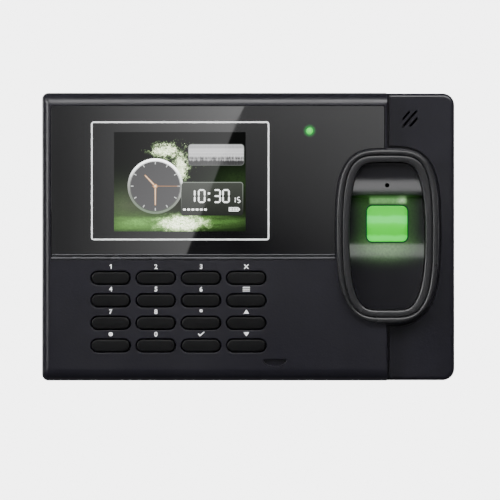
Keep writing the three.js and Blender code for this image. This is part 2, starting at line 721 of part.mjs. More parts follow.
// Hinged door over the memory-stick socket, turning on a pin along its rear edge.
function usbDoor() {
  const { left, right, front, hingeDepth, hingeZ, barrel, pin } = USB_DOOR;
  const leaf = block(left, right, hingeDepth, front, -TOP + 0.2, -TOP + 1.5);
  const roll = pegX(left, right, hingeDepth, hingeZ, barrel, 20);
  const lift = block(USB.x - 4, USB.x + 4, front - 1.6, front + 0.1, -TOP + 0.1, -TOP + 0.6);
  return cut(leaf.add(roll), pegX(left - 1, right + 1, hingeDepth, hingeZ, pin + GAP), lift);
}

function tamperSwitch() {
  const body = block(TAMPER.x - 3.5, TAMPER.x + 3.5, 7.4, BOARD_BACK - GAP, TAMPER.z - 3.5, TAMPER.z + 3.5);
  return body.subtract(pegY(TAMPER.x, TAMPER.z, 1.6, 5, 11.2, 14));
}

function tamperPlunger() {
  const shaft = pegY(TAMPER.x, TAMPER.z, 1.3, PLATE_FRONT + GAP, 10.2, 14);
  return shaft.add(pegY(TAMPER.x, TAMPER.z, 2.2, 5.6, 6.6, 14));
}

// Flexible cable from the display's lower edge, folded back onto the main board.
function displayRibbon() {
  const start = 24.2;
  const end = BOARD_FRONT + 0.5;
  const centre = (start + end) / 2;
  const radius = (start - end) / 2;
  const thick = 0.35;
  const profile = [
    new THREE.Vector2(start, -3.4),
    ...arc(centre, -4.2, radius, radius * 0.8, 0, -180, 10),
    new THREE.Vector2(end, 3),
    new THREE.Vector2(end + thick, 3),
    ...arc(centre, -4.2, radius - thick, radius * 0.8 - thick, -180, 0, 10),
    new THREE.Vector2(start - thick, -3.4),
  ];
  return barX(profile, -41, -21);
}

function lead(points, radius) {
  const path = new THREE.CatmullRomCurve3(points.map(([x, depth, z]) => new THREE.Vector3(x, -depth, z)));
  const section = new THREE.Shape(arc(0, 0, radius, radius, 0, 315, 7));
  return solid(new THREE.ExtrudeGeometry(section, { extrudePath: path, steps: 16, bevelEnabled: false }));
}

// A pan-head screw about its own head centre: the head's top faces +Y, the shaft points along -Y.
function screwBody(headRadius, headHeight, shaftRadius, length) {
  const head = turned([
    [0, 0],
    [headRadius - 0.7, 0],
    [headRadius, 0.6],
    [headRadius, headHeight],
    [shaftRadius, headHeight],
    [shaftRadius, length - 1],
    [0, length],
  ], 20);
  const slotHalf = headRadius * 0.62;
  return cut(
    head,
    block(-slotHalf, slotHalf, -1, headHeight * 0.55, -0.35, 0.35),
    block(-0.35, 0.35, -1, headHeight * 0.55, -slotHalf, slotHalf),
  );
}

// ---------------------------------------------------------------- assembly

place("wall_plate", wallPlate(), "steel");
place("rear_cover", rearCover(), "casing");
place("front_housing", frontHousing(), "casing");
place("front_panel", frontPanel(), "casing");
place("lens_panel", lensPanel(), "lens");
place("divider_trim", dividerTrim(), "trim");

const keyShape = keyBody();
eachKey((name, x, z) => place(name, keyShape, "rubber").position.set(x, 0, z));
place("keypad_mat", keypadMat(), "silicone");
place("keypad_board", slab(roundedRect(-75, 12, -56.4, -11.4, 1), 20, 21.6), "board");

const { x: dx, z: dz, width: dw, height: dh } = DISPLAY;
place("display_frame", block(dx - 36, dx + 36, 22.5, 26.5, dz - 28, dz + 28), "steel");
place("display_glass", slab(centredRect(dx, dz, dw + 0.6, dh + 0.6, 0.4), PANEL_INSIDE, 28.2), "display");
place(
  "status_light",
  turned([
    [0, 25.7],
    [2.2, 25.7],
    [2.2, 26.6],
    [STATUS.radius, 26.6],
    [STATUS.radius, 29.4],
    [1.35, 30],
    [0.8, 30.35],
    [0, 30.5],
  ]).translate([STATUS.x, 0, STATUS.z]),
  "lamp",
);
place("status_board", block(STATUS.x - 4, STATUS.x + 4, 24.4, 25.4, STATUS.z - 3, STATUS.z + 3), "board");

const pod = new THREE.Group();
pod.position.set(POD.x, 0, POD.z);
terminal.add(pod);
place("reader_bezel", readerBezel(), "ring", pod);
place("reader_trim", readerTrim(), "ring", pod);
place("reader_cradle", readerCradle(), "reader", pod);
place("window_gasket", windowGasket(), "rubber", pod);
place("sensor_window", sensorWindow(), "glass", pod);
place("sensor_prism", sensorPrism(), "clear_glass", pod);
place("optics_housing", opticsHousing(), "black_plastic", pod);
place("imager_board", block(-13, 13, 8.6, 10.1, WINDOW.z - 12, WINDOW.z + 12), "board", pod);

const speaker = new THREE.Group();
speaker.position.set(SPEAKER.x, 0, SPEAKER.z);
terminal.add(speaker);
place("speaker_frame", speakerFrame(), "dark_steel", speaker);
place("speaker_cone", speakerCone(), "black_plastic", speaker);

place("main_board", mainBoard(), "board");
place("processor", block(-62, -48, BOARD_FRONT + 0.1, 17.4, 26, 40), "black_plastic");
place("coin_cell", pegY(20, 30, 8, BOARD_FRONT + 0.6, 19.4, 28), "steel");
const clipArm = block(9, 31, 19.6, 20, 28.4, 31.6);
place("cell_clip", clipArm.add(block(8.4, 9.4, BOARD_FRONT, 20, 28.4, 31.6)), "gold");
place("buzzer", pegY(22, 20, 6, 5.2, BOARD_BACK - 0.1, 24), "black_plastic");
place("lock_relay", block(-20, -1, 5, BOARD_BACK - 0.1, 18, 33), "relay_blue");
place("power_jack", powerJack(), "black_plastic");
place("ethernet_jack", ethernetJack(), "steel");
place("terminal_block", terminalBlock(), "connector_green");
place("usb_port", usbPort(), "steel");
place("usb_door", usbDoor(), "casing");
place(
  "usb_door_pin",
  pegX(USB_DOOR.left - 2.1, USB_DOOR.right + 2.1, USB_DOOR.hingeDepth, USB_DOOR.hingeZ, USB_DOOR.pin, 12),
  "steel",
);
place("tamper_switch", tamperSwitch(), "black_plastic");
place("tamper_plunger", tamperPlunger(), "connector_green");
place("display_ribbon", displayRibbon(), "flex");
const sensorLeadPath = [
  [49.3, 9.4, 5],
  [46, 9.8, 4.6],
  [42, 11.8, 4],
  [36, 12.9, 4],
  [30, 12.9, 5],
];
place("sensor_lead", lead(sensorLeadPath, 0.9), "black_plastic");
const speakerLeadPath = [
  [67, 15.5, 53.5],
  [58, 14, 52],
  [48, 14.5, 47],
  [41, 17.6, 45],
  [36, 17.4, 44],
];
place("speaker_lead", lead(speakerLeadPath, 0.8), "flex");

const { x: screwX, z: screwZ, shaft, head } = CASE_SCREWS;
const caseScrew = screwBody(head, 1.9, shaft, 14);
[
  [-screwX, screwZ],
  [screwX, screwZ],
  [-screwX, -screwZ],
  [screwX, -screwZ],
].forEach(([x, z], i) => {
  place(`case_screw_${i + 1}`, caseScrew.translate([0, -0.8, 0]), "dark_steel").position.set(x, 0, z);
});
const lockScrew = place("lock_screw", screwBody(2.75, 1.6, 1.4, 6.4), "dark_steel");
lockScrew.rotation.x = -Math.PI / 2;
lockScrew.position.set(LOCK_SCREW.x, -LOCK_SCREW.depth, -TOP + 0.1);

export default terminal;
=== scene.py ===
"""Looks of the wall-hung fingerprint terminal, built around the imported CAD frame.

Working lengths are in millimetres and become metres when a mesh is made. A depth is a distance in
front of the wall, so a depth d lies at y = -d. +Z is up and +X is to the viewer's right.
"""

from math import atan, cos, pi, radians, sin, sqrt, tan

import bmesh
import bpy
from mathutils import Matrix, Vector


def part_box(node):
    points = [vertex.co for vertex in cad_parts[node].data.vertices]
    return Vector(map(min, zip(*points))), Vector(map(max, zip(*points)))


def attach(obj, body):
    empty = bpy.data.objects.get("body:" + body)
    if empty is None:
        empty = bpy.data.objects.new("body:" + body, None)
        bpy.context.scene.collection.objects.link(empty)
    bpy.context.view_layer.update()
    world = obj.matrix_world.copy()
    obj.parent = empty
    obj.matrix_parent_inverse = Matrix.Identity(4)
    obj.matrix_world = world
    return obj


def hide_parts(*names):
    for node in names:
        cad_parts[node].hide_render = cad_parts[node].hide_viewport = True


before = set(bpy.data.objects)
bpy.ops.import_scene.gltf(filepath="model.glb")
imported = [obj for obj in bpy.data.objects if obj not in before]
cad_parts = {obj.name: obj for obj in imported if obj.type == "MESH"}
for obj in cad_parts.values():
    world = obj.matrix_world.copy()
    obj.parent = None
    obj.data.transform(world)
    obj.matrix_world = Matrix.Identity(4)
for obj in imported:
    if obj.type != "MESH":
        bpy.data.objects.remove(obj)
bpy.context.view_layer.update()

MM = 0.001
BODY = "terminal"


# ---------------- places taken from the frame


class Span:
    """A CAD node's box in millimetres, with depths counted in front of the wall."""

    def __init__(self, node):
        low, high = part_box(node)
        self.x0, self.x1 = low.x / MM, high.x / MM
        self.z0, self.z1 = low.z / MM, high.z / MM
        self.back, self.front = -high.y / MM, -low.y / MM
        self.x, self.z = (self.x0 + self.x1) / 2, (self.z0 + self.z1) / 2
        self.width, self.height = self.x1 - self.x0, self.z1 - self.z0

    def inside(self, wall, left_radius, right_radius=None, steps=10):
        """The box's outline, moved inwards by a wall."""
        x0, x1, z0, z1 = self.x0 + wall, self.x1 - wall, self.z0 + wall, self.z1 - wall
        return rect(x0, x1, z0, z1, left_radius, right_radius, steps)


case = Span("front_housing")
rear = Span("rear_cover")
panel = Span("front_panel")
lens = Span("lens_panel")
trim_line = Span("divider_trim")
glass = Span("display_glass")
lamp = Span("status_light")
bezel = Span("reader_bezel")
window = Span("sensor_window")
speaker = Span("speaker_frame")
door = Span("usb_door")

KEYS = [n for n in sorted(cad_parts) if n.startswith("key_")]
CARD_SLANT, CARD_FOOT = 0.3782, -25.1  # the mirrored edge runs along x = CARD_FOOT + CARD_SLANT * z
LEFT_CORNER, RIGHT_CORNER = 3.0, 5.4  # corner radii of the case
FACE = panel.front
PANEL_RIGHT = bezel.x  # the raised panel ends at the reader's middle
PANEL_THICK, PANEL_WALL, PANEL_INSIDE = 5.7, 2.4, 26.8
ROLL_TOP, ROLL_BOTTOM, ROLL_LEFT, ROLL_DEPTH = 6.1, 6.0, 4.3, 5.2  # rounded edges of the raised panel
EDGE = 0.5  # small rounding of the panel's other edges
KEY_CAP, KEY_HOLE = (17.2, 5.4), (18.0, 6.2)  # width and height
DISPLAY_HOLE, PICTURE_SIZE = (61.2, 46.4), (59.6, 45.0)
POD_Z = 0.2  # height of the reader's middle
POD_HOLE = (20.0, 36.2)  # half width and half height of the ovals, here and below
POD_BULGE = (23.6, 39.9)
RING_OUTER, RING_STEP, RING_MOUTH = (23.0, 39.2), (20.2, 36.4), (17.2, 33.4)
BARREL = 0.18  # how much the mouth narrows towards its ends
SHELL_WALL = 2.2
DEEP, FAR = 10, 60  # depths behind and in front of everything that a through cut meets
BEYOND = 90  # further sideways or up than anything reaches
STRIP_X = 63.5  # where the housing's shell and its right-hand strip join
PICTURE_HALF = (30, 22.6)  # half width and half height that the display's picture is drawn by


# ---------------- mesh building


def linked(name, data):
    """A new object in the scene."""
    obj = bpy.data.objects.new(name, data)
    bpy.context.scene.collection.objects.link(obj)
    return obj


def add_object(name, verts, faces, smooth_angle=32):
    """A welded mesh object from points (x, depth, z) in millimetres."""
    mesh = bpy.data.meshes.new(name)
    mesh.from_pydata([(x * MM, -d * MM, z * MM) for x, d, z in verts], [], faces)
    work = bmesh.new()
    work.from_mesh(mesh)
    bmesh.ops.remove_doubles(work, verts=work.verts, dist=1e-7)
    bmesh.ops.recalc_face_normals(work, faces=work.faces)
    work.to_mesh(mesh)
    work.free()
    obj = linked(name, mesh)
    obj["smooth_angle"] = smooth_angle
    return obj


def rect(x0, x1, z0, z1, left_radius, right_radius=None, steps=10):
    """A rounded rectangle as a function of how far it is moved outwards."""
    right_radius = left_radius if right_radius is None else right_radius

    def points(offset=0.0):
        a, b, c, d = x0 - offset, x1 + offset, z0 - offset, z1 + offset
        rl = max(left_radius + offset, 0.03)
        rr = max(right_radius + offset, 0.03)
        made = []
        for cx, cz, r, start in (
            (b - rr, c + rr, rr, -90),
            (b - rr, d - rr, rr, 0),
            (a + rl, d - rl, rl, 90),
            (a + rl, c + rl, rl, 180),
        ):
            for i in range(steps + 1):
                t = radians(start + 90 * i / steps)
                made.append((cx + r * cos(t), cz + r * sin(t)))
        return made

    return points


def centred(x, z, width, height, radius, steps=10):
    """A rounded rectangle about its middle."""
    return rect(x - width / 2, x + width / 2, z - height / 2, z + height / 2, radius, None, steps)


def stadium(x, z, width, height, steps=20):
    """A bar with round ends."""
    return centred(x, z, width, height, height / 2 - 1e-3, steps)


def circle(x, z, radius, steps=48):
    """A circle as a function of how far it is moved outwards."""

    def points(offset=0.0):
        turn = [2 * pi * i / steps for i in range(steps)]
        return [(x + (radius + offset) * cos(t), z + (radius + offset) * sin(t)) for t in turn]

    return points


def oval_point(half_width, half_height, turn):
    """A superellipse, a little fuller above; towards the mouth it turns into a tighter-cornered barrel."""
    inwards = (RING_OUTER[0] - half_width) / (RING_OUTER[0] - RING_MOUTH[0])
    inwards = min(max(inwards, 0.0), 1.1)
    fullness_above, fullness_below, tightening = 3.4, 2.9, 2.2
    power = (fullness_above if sin(turn) > 0 else fullness_below) + tightening * inwards
    across, up = cos(turn), sin(turn)
    reach = (abs(across) ** power + abs(up) ** power) ** (-1 / power)
    across, up = across * reach, up * reach
    return half_width * across * (1 - BARREL * inwards * up * up), half_height * up


def oval(half_width, half_height, steps=192):
    """The reader's upright oval about the pod's centre."""

    def points(offset=0.0):
        made = []
        for i in range(steps):
            x, z = oval_point(half_width + offset, half_height + offset, 2 * pi * i / steps)
            made.append((bezel.x + x, POD_Z + z))
        return made

    return points


def copies(outline, section):
    """Rings of points along an outline; section lists (offset, depth)."""
    return [[(x, d, z) for x, z in outline(offset)] for offset, d in section]


def loft(name, outline, section):
    """A closed body through copies of an outline, from back to front."""
    return skin(name, copies(outline, section))


def through(name, outline, back=DEEP, front=FAR, grow=0):
    """A straight-sided body along an outline, mostly for cutting through a piece."""
    return loft(name, outline, [(grow, back), (grow, front)])


def skin(name, rings, capped=True):
    """Rings of points joined one to the next: closed by caps, or from the last back to the first."""
    count = len(rings[0])
    verts = [p for ring in rings for p in ring]
    faces = []
    for j in range(len(rings) - 1 if capped else len(rings)):
        here, there = j * count, ((j + 1) % len(rings)) * count
        for i in range(count):
            k = (i + 1) % count
            faces.append((here + i, here + k, there + k, there + i))
    if capped:
        faces.append(tuple(range(count)))
        last = (len(rings) - 1) * count
        faces.append(tuple(last + i for i in range(count)))
    return add_object(name, verts, faces)


def quarter(radius, steps=5):
    """(inset, rise) along a quarter round."""
    turns = [radians(90 * i / steps) for i in range(steps + 1)]
    return [(radius * (1 - cos(t)), radius * sin(t)) for t in turns]


def plate_section(back, front, front_radius=0.0, back_radius=0.0, steps=5):
    """Section of a plate with rounded edges."""
    section = [(-inset, back + back_radius - rise) for inset, rise in reversed(quarter(back_radius, steps))]
    section += [(-inset, front - front_radius + rise) for inset, rise in quarter(front_radius, steps)]
    kept = [section[0]]
    for s in section[1:]:
        if abs(s[0] - kept[-1][0]) + abs(s[1] - kept[-1][1]) > 1e-4:
            kept.append(s)
    return kept


def hole_section(bottom, face, radius, steps=5):
    """Section of a cutter whose mouth flares, so that it leaves a rounded edge at the face."""
    overcut, clearance = 0.25, 8
    section = [(0.0, bottom)]
    section += [(inset, face - radius + rise) for inset, rise in quarter(radius, steps)[:-1]]
    (o1, d1), (o2, d2) = section[-2:]
    reach = (face + overcut - d2) / max(d2 - d1, 1e-6)
    mouth = o2 + min((o2 - o1) * reach, 3 * radius)
    return section + [(mouth, face + overcut), (mouth, face + clearance)]


def band(name, outline, section):
    """A closed ring that runs along an outline."""
    return skin(name, copies(outline, section), capped=False)


def ring_body(name, half_width, half_height, section):
    """A closed oval ring through (inset from the outer oval, depth)."""
    return band(name, oval(half_width, half_height), [(-inset, d) for inset, d in section])


def box_body(name, x0, x1, back, front, z0, z1):
    """A plain block."""
    return through(name, rect(x0, x1, z0, z1, 0.0, None, 1), back, front)


def combine(base, operation, *others):
    """Joins, cuts or intersects the base with the others, which are used up."""
    for other in others:
        modifier = base.modifiers.new("combine", "BOOLEAN")
        modifier.operation = operation
        modifier.solver = "MANIFOLD"
        modifier.object = other
        bpy.context.view_layer.update()
        graph = bpy.context.evaluated_depsgraph_get()
        made = bpy.data.meshes.new_from_object(base.evaluated_get(graph))
        base.modifiers.clear()
        used = [base.data, other.data]
        base.data = made
        bpy.data.objects.remove(other)
        for mesh in used:
            bpy.data.meshes.remove(mesh)
    return base


def cut(base, *others):
    return combine(base, "DIFFERENCE", *others)


def add(base, *others):
    return combine(base, "UNION", *others)


def keep(base, *others):
    return combine(base, "INTERSECT", *others)


def finish_piece(obj, material, slot, *stands_for, body=BODY):
    """Smooth shading with crisp edges, material, body and the CAD nodes it stands for, which it hides; slot
    is not used.
    """
    mesh = obj.data
    mesh.shade_smooth()
    mesh.set_sharp_from_angle(angle=radians(obj["smooth_angle"]))
    weighted = obj.modifiers.new("weighted_normals", "WEIGHTED_NORMAL")
    weighted.keep_sharp = True
    weighted.weight = 60
    mesh.materials.clear()
    mesh.materials.append(material)
    del obj["smooth_angle"]
    if stands_for:
        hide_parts(*stands_for)
    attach(obj, body)
    return obj


# ---------------- materials


class Value:
    """A number made by a material's nodes; +, -, *, /, ** and abs() make further math nodes."""

    def __init__(self, nodes, socket):
        self.nodes, self.socket = nodes, socket

    def __add__(self, other):
        return self.nodes.math("ADD", self, other)

    def __sub__(self, other):
        return self.nodes.math("SUBTRACT", self, other)

    def __rsub__(self, other):
        return self.nodes.math("SUBTRACT", other, self)

    def __mul__(self, other):
        return self.nodes.math("MULTIPLY", self, other)

    def __truediv__(self, other):
        return self.nodes.math("DIVIDE", self, other)

    def __pow__(self, other):
        return self.nodes.math("POWER", self, other)

    def __abs__(self):
        return self.nodes.math("ABSOLUTE", self)


class Nodes:
    """A material's node tree with short calls for adding nodes."""

    def __init__(self, name):
        self.material = bpy.data.materials.new(name)
        self.material.use_nodes = True
        self.tree = self.material.node_tree
        self.shader = self.tree.nodes["Principled BSDF"]
        self.coordinates = self.add("ShaderNodeTexCoord").outputs["Object"]

    def add(self, kind, values=None, **properties):
        made = self.tree.nodes.new(kind)
        for key, value in properties.items():
            setattr(made, key, value)
        for socket, value in (values or {}).items():
            self.put(made.inputs[socket], value)
        return made

    def put(self, socket, value):
        value = getattr(value, "socket", value)
        if isinstance(value, bpy.types.NodeSocket):
            self.tree.links.new(value, socket)
        else:
            socket.default_value = value

    def look(self, color, roughness, light=None, power=None, specular=None, metallic=None, normal=None):
        """Links or sets what is given of the surface, and hands over the material."""
        given = {"Base Color": color, "Roughness": roughness, "Metallic": metallic, "Normal": normal}
        given.update({"Emission Color": light, "Emission Strength": power, "Specular IOR Level": specular})
        for socket, value in given.items():
            if value is not None:
                self.put(self.shader.inputs[socket], value)
        return self.material

    def math(self, operation, a, b=0.0):
        return Value(self, self.add("ShaderNodeMath", {0: a, 1: b}, operation=operation).outputs[0])

    def scaled(self, color, factor):
        values = {0: color, "Scale": factor}
        return self.add("ShaderNodeVectorMath", values, operation="SCALE").outputs[0]

    def sum(self, a, b):
        return self.add("ShaderNodeVectorMath", {0: a, 1: b}, operation="ADD").outputs[0]

    def more(self, a, b):
        return self.math("MAXIMUM", a, b)

    def noise(self, scale, detail=3.0, roughness=0.55, vector=None, distortion=0.0):
        values = {"Vector": self.coordinates if vector is None else vector, "Scale": scale}
        values.update({"Detail": detail, "Roughness": roughness, "Distortion": distortion})
        return Value(self, self.add("ShaderNodeTexNoise", values).outputs["Fac"])

    def remap(self, value, from_low, from_high, to_low=0.0, to_high=1.0):
        values = {0: value, 1: from_low, 2: from_high, 3: to_low, 4: to_high}
        return Value(self, self.add("ShaderNodeMapRange", values, clamp=True).outputs[0])

    def ramp(self, value, *stops):
        made = self.add("ShaderNodeValToRGB", {0: value})
        elements = made.color_ramp.elements
        while len(elements) < len(stops):
            elements.new(0.5)
        for element, (position, color) in zip(elements, stops):
            element.position = position
            element.color = (*color, 1.0)
        return made.outputs["Color"]

    def stretched(self, vector, scale):
        return self.add("ShaderNodeMapping", {"Vector": vector, "Scale": scale}).outputs[0]

    def bump(self, height, strength, distance):
        values = {"Height": height, "Strength": strength, "Distance": distance}
        return self.add("ShaderNodeBump", values).outputs["Normal"]

    def axes(self):
        """The three coordinates, in metres."""
        split = self.add("ShaderNodeSeparateXYZ", {0: self.coordinates})
        return [Value(self, socket) for socket in split.outputs]

    def away(self, middle_x, middle_z, unit=1.0):
        """How far to the right of and above a place given in millimetres, counted in units."""
        x, _, z = self.axes()
        return (x - middle_x * MM) / unit, (z - middle_z * MM) / unit

    def uneven(self, scale, low, high, detail=3.0, roughness=0.55, vector=None):
        """A noise that mostly lies between low and high."""
        return self.remap(self.noise(scale, detail, roughness, vector), 0.3, 0.7, low, high)

    def tint(self, color, amount, factor):
        """color times between 1 - amount and 1 + amount, as factor goes from 0 to 1."""
        low = [c * (1 - amount) for c in color]
        high = [c * (1 + amount) for c in color]
        return self.ramp(factor, (0.25, low), (0.75, high))


GLOSS_SPREAD = 0.08  # how far the gloss of a handled surface strays to either side
FINE_RELIEF = 0.00005


def grained(name, color, roughness, grain=0.35, relief=0.3, sheen=0.5, metallic=0.0):
    """Moulded plastic or rubber: fine grain (in mm), uneven gloss and faint cloudiness."""
    n = Nodes(name)
    handled = n.uneven(18, roughness - GLOSS_SPREAD, roughness + GLOSS_SPREAD, 5.0, 0.6)
    fine = n.bump(n.noise(1 / (grain * MM), 2.0, 0.6), relief, FINE_RELIEF)
    cloudy = n.tint(color, 0.12, n.noise(55, 4.0))
    return n.look(cloudy, handled, specular=sheen, metallic=metallic, normal=fine)


def brushed(name, color, roughness):
    """Metal with fine brush lines and faint cloudiness."""
    n = Nodes(name)
    lines = n.noise(900, 3.0, 0.6, n.stretched(n.coordinates, (1, 1, 60)))
    gloss = n.remap(lines, 0.3, 0.7, roughness - 0.1, roughness + 0.12)
    relief = n.bump(lines, 0.25, 0.00002)
    return n.look(n.tint(color, 0.15, n.noise(70, 3.0)), gloss, metallic=1.0, normal=relief)


def print_white_with_painted_glow():
    """White printing ink, given a painted white glow as emission that brightens it."""
    n = Nodes("printed_white_painted_glow")
    ink = n.tint((0.86, 0.87, 0.88), 0.05, n.noise(900, 3.0))
    # the emission is a painted glow on the ink, which is no lamp
    return n.look(ink, n.uneven(300, 0.4, 0.55), (1.0, 1.0, 1.0, 1), 0.55)


# The status light's halo on the lens is a painted glow, not light from the lamp.
GLOW_REACH, LAMP_REACH = 2.35, 1.7  # radii of the status light's halo on the lens, and of the lamp


def lens_gloss_and_painted_halo():
    """Smoked acrylic: a mirror-like face with faint wipe marks, and the status light's glow painted round the
    lamp as a halo of emission.
    """
    n = Nodes("lens_gloss_and_painted_halo")
    wipe = n.noise(26, 6.0, 0.65, distortion=1.2)
    across, up = n.away(lamp.x, lamp.z, GLOW_REACH * MM)
    near = (across * across + up * up) ** 2.5
    # painted halo of the status light, given as emission on the lens
    glow = n.math("EXPONENT", near * -1.0) * n.uneven(1400, 0.55, 1.25)
    smoke = n.tint((0.006, 0.006, 0.0068), 0.2, n.noise(40))
    return n.look(smoke, n.remap(wipe, 0.4, 0.75, 0.008, 0.04), (0.012, 0.36, 0.05, 1), glow)


def glowing(name, color, strength, surface=(0.02, 0.03, 0.02), roughness=0.12, specular=None):
    """A piece that gives off light, on the display or as painted spill on the window's seal: its brightness
    wavers slightly over its surface.
    """
    n = Nodes(name)
    waver = n.noise(120, 3.0)
    power = n.remap(waver, 0.3, 0.7, strength * 0.92, strength * 1.08)
    return n.look(n.tint(surface, 0.1, waver), roughness, (*color, 1), power, specular)


def lamp_glow():
    """The status lamp: pale at its centre and deep green at its rim."""
    n = Nodes("lamp_light")
    across, up = n.away(lamp.x, lamp.z)
    away = n.math("SQRT", across * across + up * up)
    light = n.ramp(
        n.remap(away + n.uneven(900, -0.0001, 0.0001), 0.0, LAMP_REACH * MM),
        (0.0, (0.06, 0.95, 0.12)), (0.45, (0.033, 0.92, 0.065)), (0.8, (0.030, 0.70, 0.07)),
        (1.0, (0.028, 0.40, 0.05)),
    )
    return n.look(n.tint((0.02, 0.10, 0.03), 0.1, n.noise(300)), 0.15, light, 1.45)


def blob(n, u, v, centre_u, centre_v, reach_u, reach_v):
    """A soft spot of height 1 about a centre."""
    du = (u - centre_u) / reach_u
    dv = (v - centre_v) / reach_v
    square = du * du + dv * dv
    return n.math("EXPONENT", square * -1.0)


def soft_box(n, u, v, centre_u, centre_v, half_u, half_v, softness):
    """1 inside a rectangle, fading to 0 over the softness around its edges."""
    parts = []
    for place, centre, half in ((u, centre_u, half_u), (v, centre_v, half_v)):
        fall = {0: abs(place - centre), 1: half - softness, 2: half + softness, 3: 1.0, 4: 0.0}
        step = n.add("ShaderNodeMapRange", fall, interpolation_type="SMOOTHSTEP")
        parts.append(Value(n, step.outputs[0]))
    return parts[0] * parts[1]


def mirror_side(n):
    """1 where the lens mirrors the bright card at rest, 0 to the right of the card's slanted edge."""
    x, _, z = n.axes()
    edge = z * CARD_SLANT + CARD_FOOT * MM
    return n.remap(edge - x, -0.0004, 0.0004)


def green_ground(n, u, v, flat, cloud, grass):
    """Green light that pools along the picture's bottom, over a dark ground."""
    left = blob(n, u, v, -1.0, -0.5, 0.5, 0.5)
    right = blob(n, u, v, 0.95, 0.02, 0.55, 0.34)
    pool_left = blob(n, u, v, -0.55, -0.84, 0.62, 0.17)
    pool_right = blob(n, u, v, 0.45, -0.80, 0.62, 0.16)
    soft = left * 0.2 + right * 0.17
    pools = pool_left * 0.74 + pool_right * 0.55
    pooled = pools * n.uneven(1.6, 0.6, 1.2, 4.0, 0.55, n.stretched(flat, (1.2, 7.0, 1.0)))
    green = soft * n.remap(cloud, 0.3, 0.7, 0.75, 1.1) + pooled
    return n.ramp(
        green * n.remap(grass, 0.3, 0.7, 0.72, 1.28),
        (0.0, (0.0010, 0.0012, 0.0011)), (0.12, (0.014, 0.028, 0.010)), (0.35, (0.058, 0.130, 0.032)),
        (0.7, (0.16, 0.40, 0.080)), (1.0, (0.30, 0.80, 0.15)),
    )


def water_splash(n, u, v, flat):
    """A pale splash: a veined crown and arm with spray round them, and a glint at the bottom."""
    ragged = n.noise(8.0, 6.0, 0.75, flat, 0.6)
    frayed = ragged - 0.5
    threads = n.noise(19.0, 3.0, 0.6, flat, 1.6)
    veins = n.remap(abs(threads - 0.5), 0.01, 0.075, 1.0, 0.03)
    upper = n.more(blob(n, u, v, -0.22, 0.62, 0.29, 0.18), blob(n, u, v, 0.02, 0.28, 0.15, 0.40))
    body = n.remap(upper + frayed * 1.9, 0.35, 0.85)
    glint = blob(n, u, v, 0.02, -0.84, 0.42, 0.20)
    low_body = n.remap(glint + frayed * 1.2, 0.28, 0.8)
    drops = n.add("ShaderNodeTexVoronoi", {"Vector": flat, "Scale": 34.0}, feature="F1").outputs["Distance"]
    around = blob(n, u, v, -0.02, 0.50, 0.52, 0.46)
    scattered = n.remap(around * ragged, 0.24, 0.40)
    spray = n.remap(drops, 0.1, 0.2, 1.0, 0.0) * scattered
    filled = n.more(veins, n.remap(body, 0.75, 1.0, 0.0, 0.62))
    upper_part = n.more(body * filled, spray * 0.7)
    lower_part = low_body * (veins * 0.5 + 0.5)
    return n.ramp(
        n.more(upper_part, lower_part),
        (0.0, (0.0, 0.0, 0.0)), (0.25, (0.04, 0.065, 0.025)), (0.6, (0.30, 0.40, 0.20)),
        (1.0, (1.0, 1.0, 0.82)),
    )


def display_picture():
    """The idle picture: a dark ground with green light, a pale splash of water and a low mist."""
    n = Nodes("display_picture")
    x, _, z = n.axes()
    u = (x - glass.x * MM) / (PICTURE_HALF[0] * MM)
    v = (z - glass.z * MM) / (PICTURE_HALF[1] * MM)
    flat = n.add("ShaderNodeCombineXYZ", {0: u, 1: v, 2: 0.0}).outputs[0]
    cloud = n.noise(2.2, 5.0, 0.6, flat)
    grass = n.noise(26.0, 4.0, 0.7, flat, 2.5)
    low = n.remap(v, -0.45, 0.28, 1.0, 0.0) * n.remap(v, -0.95, -0.5, 0.45, 1.0)
    aside = n.remap(u, -1.05, -0.85, 0.5, 1.0) * n.remap(u, -0.6, 0.1, 1.0, 0.15)
    haze = low * low * (aside * n.remap(grass, 0.3, 0.7, 0.85, 1.15))
    mist = n.scaled((0.075, 0.085, 0.052), haze)
    lit = n.sum(green_ground(n, u, v, flat, cloud, grass), mist)
    total = n.sum(lit, n.scaled(water_splash(n, u, v, flat), 4.5))
    specular = n.remap(mirror_side(n), 0.0, 1.0, 0.06, 0.24)
    return n.look(n.scaled(total, 0.02), n.remap(cloud, 0.4, 0.75, 0.015, 0.03), total, 1.0, specular)


def off_black(n, level=0.004):
    """What an unlit spot of the picture would look like."""
    return n.tint((level, level, level), 0.1, n.noise(60))


def clear_panel(name, color, top_z, bottom_z, top, bottom):
    """A see-through block of the picture whose light fades from top to bottom."""
    n = Nodes(name)
    _, _, z = n.axes()
    fade = n.remap(z, bottom_z * MM, top_z * MM)
    specular = n.remap(mirror_side(n), 0.0, 1.0, 0.06, 0.34)
    return n.look(off_black(n), 0.04, (*color, 1), n.remap(fade, 0.0, 1.0, bottom, top), specular)


def banner_light():
    """The blank banner: bright and faintly lined above, breaking up raggedly along its lower edge."""
    n = Nodes("banner_light")
    _, _, z = n.axes()
    bottom, height, turns = 32.4, 9.4, 3300.0  # the last is in radians to a metre, for the lines
    part = (z - bottom * MM) / (height * MM)
    ragged = n.uneven(300, -0.16, 0.16, 4.0, 0.7, n.stretched(n.coordinates, (5.0, 1.0, 1.0)))
    fading = n.remap(part, 0.35, 0.6, 1.0, 0.15)
    lines = n.math("SINE", z * turns) * 0.07
    light = n.ramp(
        part + ragged * fading + lines,
        (0.0, (0.02, 0.02, 0.02)), (0.22, (0.05, 0.05, 0.053)), (0.36, (0.50, 0.50, 0.50)),
        (0.6, (0.95, 0.95, 0.96)), (0.9, (0.55, 0.55, 0.56)), (1.0, (0.30, 0.30, 0.31)),
    )
    return n.look(off_black(n), 0.04, light, 1.2)


